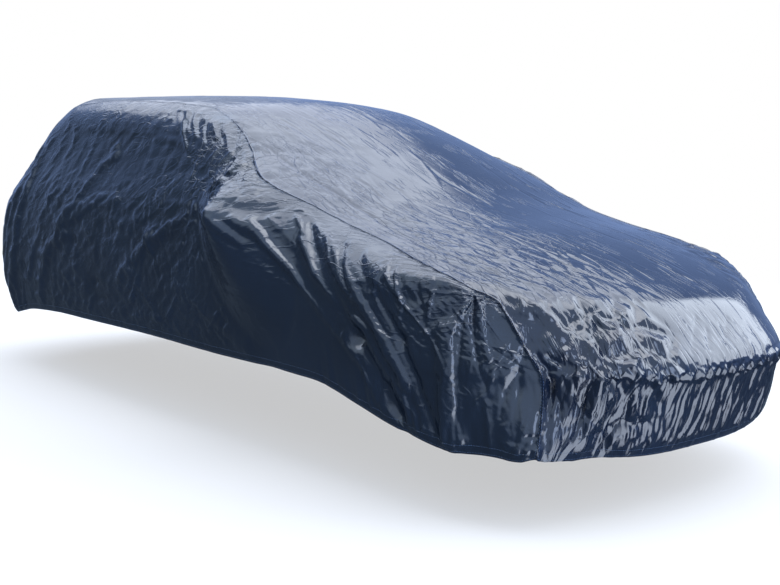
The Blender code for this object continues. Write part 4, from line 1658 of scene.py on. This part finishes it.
@dataclass(frozen=True)
class CoatedTaffeta:
    """Polyester taffeta with a thin polyurethane coat: glossy, dark navy, fine plain weave.

    Sizes and depths are in metres. The gloss and the dye vary in clouds of their own size, over
    the given range of noise values.
    """

    name: str
    colour: str
    thread: str
    roughness: tuple[float, float]
    ior: float
    creases: tuple[Creases, ...]
    crinkle_size: float
    crinkle_depth: float
    crinkle_detail: float = 2.5
    crinkle_distortion: float = 0.6
    gloss_cloud: float = 0.12
    dye_cloud: float = 0.33
    dye_shares: tuple[float, float] = (0.85, 1.15)
    cloud_detail: float = 3.0
    cloud_range: tuple[float, float] = (0.35, 0.65)
    weave_pitch: float = 0.003
    weave_depth: float = 0.000008
    stitch_rows: tuple[float, float] = (0.006, 0.028)
    stitch_width: float = 0.0008
    stitch_pitch: float = 0.009
    stitch_share: float = 0.65
    stitch_depth: float = 0.0005

    def make(self) -> bpy.types.Material:
        """The finish as a node material.

        Returns:
            The material: colour, gloss and fine relief, each from nodes.
        """
        material = bpy.data.materials.new(self.name)
        material.use_nodes = True
        tree = material.node_tree
        shader = tree.nodes["Principled BSDF"]
        shader.inputs["IOR"].default_value = self.ior
        stitches = self.stitches(tree)
        tree.links.new(self.cloth_colour(tree, stitches), shader.inputs["Base Color"])
        tree.links.new(self.gloss(tree), shader.inputs["Roughness"])
        tree.links.new(self.relief(tree, stitches), shader.inputs["Normal"])
        material.diffuse_color = linear_colour(self.colour)
        return material

    @staticmethod
    def math(tree: bpy.types.NodeTree, operation: str, *values: object) -> bpy.types.NodeSocket:
        """One step of arithmetic on sockets and numbers.

        Args:
            tree: The node tree.
            operation: Blender's name of the operation.
            *values: What it works on, in order.

        Returns:
            The result's socket.
        """
        numbers = {f"[{n}]": v for n, v in enumerate(values) if isinstance(v, float)}
        links = {n: v for n, v in enumerate(values) if not isinstance(v, float)}
        node = add_node(tree, "ShaderNodeMath", {"operation": operation, **numbers}, links)
        return node.outputs[0]

    @staticmethod
    def cloud(tree: bpy.types.NodeTree, size: float, detail: float) -> bpy.types.NodeSocket:
        """Soft noise over the whole cover, in clouds of one size.

        Args:
            tree: The node tree.
            size: Size of the clouds in metres.
            detail: How many finer layers of noise lie over them.

        Returns:
            The noise's socket, about 0.5 in the mean.
        """
        place = add_node(tree, "ShaderNodeTexCoord", {}, {})
        settings = {"[Scale]": 1.0 / size, "[Detail]": detail}
        noise = add_node(tree, "ShaderNodeTexNoise", settings, {"Vector": place.outputs["Object"]})
        return noise.outputs["Fac"]

    @staticmethod
    def fit(
        tree: bpy.types.NodeTree, value: bpy.types.NodeSocket, start: tuple, end: tuple
    ) -> bpy.types.NodeSocket:
        """Turn one range of values smoothly to another.

        Args:
            tree: The node tree.
            value: Socket of the value.
            start: The range that it comes from.
            end: The range that it is turned to.

        Returns:
            The result's socket.
        """
        settings = {
            "interpolation_type": "SMOOTHSTEP",
            "[From Min]": start[0],
            "[From Max]": start[1],
            "[To Min]": end[0],
            "[To Max]": end[1],
        }
        return add_node(tree, "ShaderNodeMapRange", settings, {"Value": value}).outputs["Result"]

    def gloss(self, tree: bpy.types.NodeTree) -> bpy.types.NodeSocket:
        """Coat that is a little smoother in some places than in others."""
        clouds = self.cloud(tree, self.gloss_cloud, self.cloud_detail)
        return self.fit(tree, clouds, self.cloud_range, self.roughness)

    def cloth_colour(
        self, tree: bpy.types.NodeTree, stitches: bpy.types.NodeSocket
    ) -> bpy.types.NodeSocket:
        """Dye that is a little uneven from place to place, with lighter thread in the stitches.

        Args:
            tree: The node tree.
            stitches: Socket that is 1 in a stitch and 0 elsewhere.

        Returns:
            The colour's socket.
        """
        clouds = self.cloud(tree, self.dye_cloud, self.cloud_detail)
        ramp = add_node(tree, "ShaderNodeValToRGB", {}, {"Fac": clouds})
        dark = np.array(linear_colour(self.colour))
        stops = zip(ramp.color_ramp.elements, self.cloud_range, self.dye_shares)
        for stop, place, share in stops:
            stop.position = place
            stop.color = (*(share * dark[:3]), 1.0)
        sewn = add_node(
            tree,
            "ShaderNodeMix",
            {"data_type": "RGBA", "[7]": linear_colour(self.thread)},
            {"Factor": stitches, 6: ramp.outputs["Color"]},
        )
        return sewn.outputs[2]

    def stitches(self, tree: bpy.types.NodeTree) -> bpy.types.NodeSocket:
        """Rows of stitches: one along every edge, and one more that closes each hem.

        Real stitches are 3 mm long and 0.4 mm thick, too fine to show, so these are larger.

        Args:
            tree: The node tree.

        Returns:
            Socket that is 1 in a stitch and 0 elsewhere.
        """
        edge = add_node(tree, "ShaderNodeUVMap", {"uv_map": "edge"}, {})
        parts = add_node(tree, "ShaderNodeSeparateXYZ", {}, {0: edge.outputs["UV"]})
        hem = add_node(tree, "ShaderNodeAttribute", {"attribute_name": "hem"}, {})
        away, run = parts.outputs["X"], parts.outputs["Y"]
        first, second = self.stitch_rows
        row = self.math(tree, "COMPARE", away, first, self.stitch_width)
        closing = self.math(tree, "COMPARE", away, second, self.stitch_width)
        closing = self.math(tree, "MULTIPLY", closing, hem.outputs["Fac"])
        rows = self.math(tree, "MAXIMUM", row, closing)
        beat = self.math(tree, "FRACT", self.math(tree, "DIVIDE", run, self.stitch_pitch))
        sewn = self.math(tree, "LESS_THAN", beat, self.stitch_share)
        return self.math(tree, "MULTIPLY", rows, sewn)

    def crease_height(
        self, tree: bpy.types.NodeTree, creases: Creases, number: int
    ) -> bpy.types.NodeSocket:
        """Height in metres of the creases of one size.

        Args:
            tree: The node tree.
            creases: The creases.
            number: Their number among the cloth's sizes of creases.

        Returns:
            The height's socket.
        """
        cloth = add_node(tree, "ShaderNodeUVMap", {"uv_map": "cloth"}, {})
        settings = {
            "[Scale]": (1.0 / creases.along, 1.0 / creases.across, 1.0),
            "[Location]": (*(start * number for start in CREASE_START), 0.0),
        }
        stretch = add_node(tree, "ShaderNodeMapping", settings, {"Vector": cloth.outputs["UV"]})
        if creases.lie is Lie.LOOSE:
            noise = add_node(
                tree,
                "ShaderNodeTexNoise",
                {"[Scale]": 1.0, "[Detail]": LOOSE_DETAIL, "[Distortion]": LOOSE_DISTORTION},
                {"Vector": stretch.outputs["Vector"]},
            )
            away = self.math(tree, "SUBTRACT", noise.outputs["Fac"], 0.5)
            away = self.math(tree, "ABSOLUTE", away)
        else:
            stray = add_node(
                tree,
                "ShaderNodeTexNoise",
                {"[Scale]": STRAY_SCALE, "[Detail]": STRAY_DETAIL},
                {"Vector": stretch.outputs["Vector"]},
            )
            moved = add_node(
                tree,
                "ShaderNodeVectorMath",
                {"operation": "MULTIPLY_ADD", "[1]": STRAY_REACH},
                {0: stray.outputs["Color"], 2: stretch.outputs["Vector"]},
            )
            cells = add_node(
                tree,
                "ShaderNodeTexVoronoi",
                {"feature": "DISTANCE_TO_EDGE", "voronoi_dimensions": "2D", "[Scale]": 1.0},
                {"Vector": moved.outputs["Vector"]},
            )
            away = cells.outputs["Distance"]
        if creases.lie is Lie.FACET:
            ridge = self.math(tree, "MULTIPLY", away, creases.depth)
        else:
            ridge = self.fit(tree, away, (0.0, creases.width), (creases.depth, 0.0))
        clumps = self.cloud(tree, creases.clump, CLUMP_DETAIL)
        share = self.fit(tree, clumps, creases.cover, (0.0, 1.0))
        height = self.math(tree, "MULTIPLY", ridge, share)
        if creases.lie is not Lie.LOOSE:
            name = "crushed" if creases.lie is Lie.NET else "faceted"
            painted = add_node(tree, "ShaderNodeAttribute", {"attribute_name": name}, {})
            height = self.math(tree, "MULTIPLY", height, painted.outputs["Fac"])
        return height

    def weave_height(self, tree: bpy.types.NodeTree) -> bpy.types.NodeSocket:
        """Height in metres of the plain weave.

        Real threads lie 0.3 mm apart, and these ten times as far, so that they show at all.

        Args:
            tree: The node tree.

        Returns:
            The height's socket.
        """
        cloth = add_node(tree, "ShaderNodeUVMap", {"uv_map": "cloth"}, {})
        parts = add_node(tree, "ShaderNodeSeparateXYZ", {}, {0: cloth.outputs["UV"]})
        turn = math.pi / self.weave_pitch
        waves = []
        for axis in ("X", "Y"):
            place = self.math(tree, "MULTIPLY", parts.outputs[axis], turn)
            waves.append(self.math(tree, "SINE", place))
        both = self.math(tree, "MULTIPLY", *waves)
        return self.math(tree, "MULTIPLY", both, self.weave_depth)

    def relief(
        self, tree: bpy.types.NodeTree, stitches: bpy.types.NodeSocket
    ) -> bpy.types.NodeSocket:
        """Fine form of the coat: creases, crinkles in all directions, weave and stitches.

        Args:
            tree: The node tree.
            stitches: Socket that is 1 in a stitch and 0 elsewhere.

        Returns:
            The normal's socket.
        """
        place = add_node(tree, "ShaderNodeTexCoord", {}, {})
        crinkles = add_node(
            tree,
            "ShaderNodeTexNoise",
            {
                "noise_type": "RIDGED_MULTIFRACTAL",
                "[Scale]": 1.0 / self.crinkle_size,
                "[Detail]": self.crinkle_detail,
                "[Distortion]": self.crinkle_distortion,
            },
            {"Vector": place.outputs["Object"]},
        )
        height = self.math(tree, "MULTIPLY", crinkles.outputs["Fac"], self.crinkle_depth)
        heights = [self.crease_height(tree, row, n) for n, row in enumerate(self.creases)]
        heights.append(self.weave_height(tree))
        heights.append(self.math(tree, "MULTIPLY", stitches, self.stitch_depth))
        for more in heights:
            height = self.math(tree, "ADD", height, more)
        links = {"Height": height}
        bump = add_node(tree, "ShaderNodeBump", {"[Strength]": 1.0, "[Distance]": 1.0}, links)
        return bump.outputs["Normal"]


# The top lies smooth and taut: a mirror-like dark coat with long loose creases, crushed to a net
# of small ones near the seam and to flat facets at the front corner.
TOP_TAFFETA = CoatedTaffeta(
    name="coated_taffeta_top",
    colour="#151f31",
    thread="#46566f",
    roughness=(0.06, 0.12),
    ior=1.75,
    creases=(
        Creases(Lie.LOOSE, 0.36, 0.045, 0.060, 0.0009, 0.28, (0.50, 0.60)),
        Creases(Lie.LOOSE, 0.18, 0.030, 0.070, 0.0006, 0.16, (0.50, 0.58)),
        Creases(Lie.NET, 0.110, 0.045, 0.060, 0.0012, 0.12, (0.38, 0.52)),
        Creases(Lie.NET, 0.045, 0.028, 0.080, 0.0007, 0.08, (0.42, 0.56)),
        Creases(Lie.FACET, 0.130, 0.070, 1.0, 0.022, 0.30, (0.20, 0.40)),
    ),
    crinkle_size=0.03,
    crinkle_depth=0.00010,
)
# The sides hang loose: the same coat, a little paler and duller over its many fine crinkles.
SIDE_TAFFETA = CoatedTaffeta(
    name="coated_taffeta_side",
    colour="#1d2736",
    thread="#46566f",
    roughness=(0.08, 0.15),
    ior=1.75,
    creases=(
        Creases(Lie.LOOSE, 0.10, 0.060, 0.060, 0.0009, 0.20, (0.46, 0.60)),
        Creases(Lie.NET, 0.070, 0.060, 0.060, 0.0012, 0.14, (0.38, 0.52)),
        Creases(Lie.NET, 0.030, 0.028, 0.080, 0.0006, 0.08, (0.40, 0.54)),
        Creases(Lie.FACET, 0.070, 0.110, 1.0, 0.018, 0.30, (0.20, 0.40)),
    ),
    crinkle_size=0.025,
    crinkle_depth=0.00025,
)


@dataclass(frozen=True)
class SkyZone:
    """Round patch of the surroundings, with all its angles in degrees.

    Its middle lies at a bearing from +X and a height over the horizon. It reaches that far from
    its middle, and its rim is soft by the fade on either side.
    """

    bearing: float
    height: float
    reach: float
    fade: float
    colour: tuple[float, float, float]

    def way(self) -> tuple[float, float, float]:
        """Direction of the patch's middle."""
        bearing, height = math.radians(self.bearing), math.radians(self.height)
        flat = math.cos(height)
        return (flat * math.cos(bearing), flat * math.sin(bearing), math.sin(height))


# What the gloss mirrors, each zone over those before it: broad blue and dark slate, the soft
# pale sky, then the bright cap for the top and the bright spots low before the nose.
SKY_ZONES = (
    SkyZone(110.0, 10.0, 75.0, 25.0, (0.28, 0.41, 0.76)),
    SkyZone(0.0, -90.0, 88.0, 8.0, (0.080, 0.110, 0.155)),
    SkyZone(-95.0, 60.0, 30.0, 22.0, (0.80, 1.00, 1.25)),
    SkyZone(-20.0, 40.0, 50.0, 20.0, (0.55, 0.70, 0.94)),
    SkyZone(155.0, 12.0, 7.0, 5.0, (0.42, 0.50, 0.68)),
    SkyZone(156.0, 42.0, 23.0, 3.0, (1.45, 1.60, 1.95)),
    SkyZone(175.0, 62.0, 23.0, 4.0, (2.20, 2.55, 3.20)),
    SkyZone(115.0, 72.0, 35.5, 2.5, (2.20, 2.42, 2.85)),
    SkyZone(65.0, 34.0, 28.0, 2.5, (3.6, 4.0, 4.6)),
    SkyZone(40.0, 80.0, 16.0, 10.0, (4.4, 4.7, 5.2)),
    SkyZone(-12.0, 8.0, 9.0, 5.0, (2.5, 3.1, 4.3)),
    SkyZone(-12.0, 24.0, 9.0, 5.0, (2.5, 3.1, 4.3)),
    SkyZone(-2.0, -26.0, 26.0, 12.0, (3.0, 3.4, 4.1)),
)


@dataclass(frozen=True)
class Studio:
    """Floor, surroundings and camera; the surroundings are all the light."""

    camera_at: tuple[float, float, float] = (5.229, -3.221, -0.291)
    camera_pitch: float = 82.864
    camera_yaw: float = 50.777
    lens_mm: float = 51.75
    sensor_mm: float = 36.0
    floor_size: tuple[float, float] = (13.5, 9.3)
    floor_middle: tuple[float, float] = (-1.2, 1.35)
    floor_paint: str = "#f0f0f0"
    floor_glow: str = "#f4f4f4"
    glow_share: float = 0.6
    ground: tuple[float, float, float] = (0.085, 0.115, 0.15)

    def camera(self) -> None:
        """Stand the camera where the photo was taken from."""
        lens = bpy.data.cameras.new("camera")
        lens.lens = self.lens_mm
        lens.sensor_width = self.sensor_mm
        stand = bpy.data.objects.new("camera", lens)
        stand.location = self.camera_at
        stand.rotation_euler = (math.radians(self.camera_pitch), 0.0, math.radians(self.camera_yaw))
        bpy.context.scene.collection.objects.link(stand)
        bpy.context.scene.camera = stand

    def floor(self) -> None:
        """Lay a plain pale floor, which only the camera sees.

        Other rays pass through it, so the cloth's gloss mirrors the surroundings' lower half.
        """
        sheet = bmesh.new()
        bmesh.ops.create_grid(sheet, x_segments=4, y_segments=4, size=0.5)
        bmesh.ops.scale(sheet, verts=sheet.verts, vec=(*self.floor_size, 1.0))
        bmesh.ops.translate(sheet, verts=sheet.verts, vec=(*self.floor_middle, -ROOF_MOUNT_HEIGHT))
        mesh = bpy.data.meshes.new("floor")
        sheet.to_mesh(mesh)
        sheet.free()
        floor = bpy.data.objects.new("floor", mesh)
        material = bpy.data.materials.new("painted_studio_floor")
        material.use_nodes = True
        tree = material.node_tree
        tree.nodes.clear()
        path = add_node(tree, "ShaderNodeLightPath", {}, {})
        paint, glow = linear_colour(self.floor_paint), linear_colour(self.floor_glow)
        pale = add_node(tree, "ShaderNodeBsdfDiffuse", {"[Color]": paint}, {})
        shine = add_node(tree, "ShaderNodeEmission", {"[Color]": glow}, {})
        links = {1: pale.outputs[0], 2: shine.outputs[0]}
        lit = add_node(tree, "ShaderNodeMixShader", {"[0]": self.glow_share}, links)
        clear = add_node(tree, "ShaderNodeBsdfTransparent", {}, {})
        seen = add_node(
            tree,
            "ShaderNodeMixShader",
            {},
            {0: path.outputs["Is Camera Ray"], 1: clear.outputs[0], 2: lit.outputs[0]},
        )
        add_node(tree, "ShaderNodeOutputMaterial", {}, {"Surface": seen.outputs[0]})
        mesh.materials.append(material)
        bpy.context.scene.collection.objects.link(floor)

    def surroundings(self) -> None:
        """White to the eye; in the cloth's gloss a bright soft cap over blue and dark slate."""
        world = bpy.data.worlds.new("surroundings")
        bpy.context.scene.world = world
        world.use_nodes = True
        tree = world.node_tree
        tree.nodes.clear()
        place = add_node(tree, "ShaderNodeTexCoord", {}, {})
        way = place.outputs["Generated"]
        colour = None
        for zone in SKY_ZONES:
            settings = {"operation": "DOT_PRODUCT", "[1]": zone.way()}
            facing = add_node(tree, "ShaderNodeVectorMath", settings, {0: way})
            share = add_node(
                tree,
                "ShaderNodeMapRange",
                {
                    "interpolation_type": "SMOOTHSTEP",
                    "[From Min]": math.cos(math.radians(zone.reach + zone.fade)),
                    "[From Max]": math.cos(math.radians(zone.reach - zone.fade)),
                },
                {"Value": facing.outputs["Value"]},
            )
            links = {"Factor": share.outputs["Result"]}
            mix = add_node(
                tree, "ShaderNodeMix", {"data_type": "RGBA", "[7]": (*zone.colour, 1.0)}, links
            )
            if colour is None:
                mix.inputs[6].default_value = (*self.ground, 1.0)
            else:
                tree.links.new(colour, mix.inputs[6])
            colour = mix.outputs[2]
        sky = add_node(tree, "ShaderNodeBackground", {"[Strength]": 1.0}, {"Color": colour})
        plain = add_node(tree, "ShaderNodeBackground", {"[Color]": (1.0, 1.0, 1.0, 1.0)}, {})
        path = add_node(tree, "ShaderNodeLightPath", {}, {})
        both = add_node(
            tree,
            "ShaderNodeMixShader",
            {},
            {0: path.outputs["Is Camera Ray"], 1: sky.outputs[0], 2: plain.outputs[0]},
        )
        add_node(tree, "ShaderNodeOutputWorld", {}, {"Surface": both.outputs[0]})

    def build(self) -> None:
        """Set up the whole studio."""
        self.camera()
        self.floor()
        self.surroundings()
        bpy.context.scene.view_settings.view_transform = "Standard"


# Where each panel has spare cloth, and where its coat is creased to a net or to facets.
TOP_SPARES = (
    Spare(View.TOP, (-1.0, 2.9), (-1.0, 1.0), 0.15, 1, 0.0002, 0.0004),
    Spare(View.TOP, (-1.0, 2.9), (-1.0, 1.0), 0.15, 2, 0.0004, 0.0010),
    Spare(View.NOSE, (-0.42, 0.42), (0.22, 0.46), 0.02, 1, 0.000, 0.012),
    Spare(View.NOSE, (-0.42, 0.42), (0.22, 0.46), 0.02, 2, 0.000, 0.010),
)
TOP_CRUSHES = (
    Crush(View.TOP, (0.5, 2.75), (-0.90, -0.42), 0.10, 1.0),
    Crush(View.TOP, (1.8, 2.7), (-0.90, -0.12), 0.16, 0.8),
    Crush(View.TOP, (-1.8, 3.3), (-1.00, 1.00), 0.10, 0.12),
)
SIDE_SPARES = (
    Spare(View.SIDE, (-2.0, 3.2), (0.2, 1.5), 0.10, 0, 0.0010, 0.0006),
    Spare(View.SIDE, (-2.0, 3.2), (0.2, 1.5), 0.10, 1, 0.0020, 0.0015),
    Spare(View.SIDE, (-1.2, 1.3), (0.3, 0.55), 0.05, 1, 0.000, 0.010),
    Spare(View.SIDE, (-2.0, 3.2), (0.2, 1.5), 0.10, 2, 0.0040, 0.0040),
)
SIDE_CRUSHES = (
    Crush(View.SIDE, (0.80, 2.30), (1.00, 1.60), 0.06, 0.9),
    Crush(View.SIDE, (1.90, 3.20), (0.74, 1.20), 0.05, 0.8),
    Crush(View.SIDE, (-2.00, 1.20), (0.20, 1.60), 0.25, 0.45),
    Crush(View.SIDE, (-2.00, 3.20), (0.20, 1.60), 0.10, 0.10),
)
TOP_FACETED = (
    Crush(View.TOP, (2.86, 3.40), (-0.95, -0.34), 0.10, 1.0),
    Crush(View.TOP, (1.90, 3.40), (-0.95, -0.42), 0.12, 0.25),
)
SIDE_FACETED = (
    Crush(View.SIDE, (2.20, 3.40), (0.68, 1.00), 0.06, 0.35),
    Crush(View.SIDE, (1.00, 1.75), (1.04, 1.35), 0.06, 0.35),
)


# Rows and columns of each panel's grid; width, length and area of its flat cloth.
TOP_GRID, TOP_FLAT, TOP_AREA = (288, 340), (1.6, 5.5), 8.0
SIDE_GRID, SIDE_FLAT, SIDE_AREA = (592, 160), (1.25, 4.4), 4.3


@dataclass
class CarCover:
    """The whole cover: a top and two sides, sewn edge to edge."""

    plan: CutPlan = CutPlan()
    drape: Drape = field(default_factory=Drape)

    def crease(self) -> None:
        """Lay all folds."""
        self.drape.add(RIGHT, SIDE_FOLDS, SIDE_STARS, SIDE_DETAILS, 100)
        self.drape.add(LEFT, SIDE_FOLDS, SIDE_STARS, SIDE_DETAILS, 200)
        self.drape.add(TOP, TOP_FOLDS, TOP_STARS, TOP_DETAILS, 300)
        self.drape.add(NOSE, NOSE_FOLDS, NOSE_STARS, NOSE_DETAILS, 400)
        self.drape.add(TAIL, (), (), TAIL_DETAILS, 500)

    def build(self) -> None:
        """Build and dress the three panels."""
        self.crease()
        top_zones = (TOP_SPARES, TOP_CRUSHES, TOP_FACETED)
        side_cut = ("side_taffeta", *SIDE_GRID, SIDE_FLAT, SIDE_AREA)
        side_zones = (SIDE_SPARES, SIDE_CRUSHES, SIDE_FACETED)
        top = Panel(
            "top_cloth", "top_panel", "top_taffeta", *TOP_GRID, TOP_FLAT, TOP_AREA, *top_zones,
            hem_sides=("u_low", "u_high"), mirrored=True,
        )
        right = Panel("right_cloth", "side_panel_right", *side_cut, *side_zones)
        left = Panel("left_cloth", "side_panel_left", *side_cut, *side_zones, mirrored=True)
        side_cloth = SIDE_TAFFETA.make()
        cloths = (TOP_TAFFETA.make(), side_cloth, side_cloth)
        faces = (self.plan.top_face(), self.plan.side_face(-1), self.plan.side_face(1))
        for panel, cloth, face in zip((top, right, left), cloths, faces):
            panel.dress(panel.build(face, self.drape), cloth)
            LOG.info("built %s for node %s", panel.name, panel.node)


def main() -> None:
    """Build the cover and the studio."""
    logging.basicConfig(level=logging.INFO)
    CarCover().build()
    Studio().build()
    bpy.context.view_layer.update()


if __name__ == "__main__":
    main()
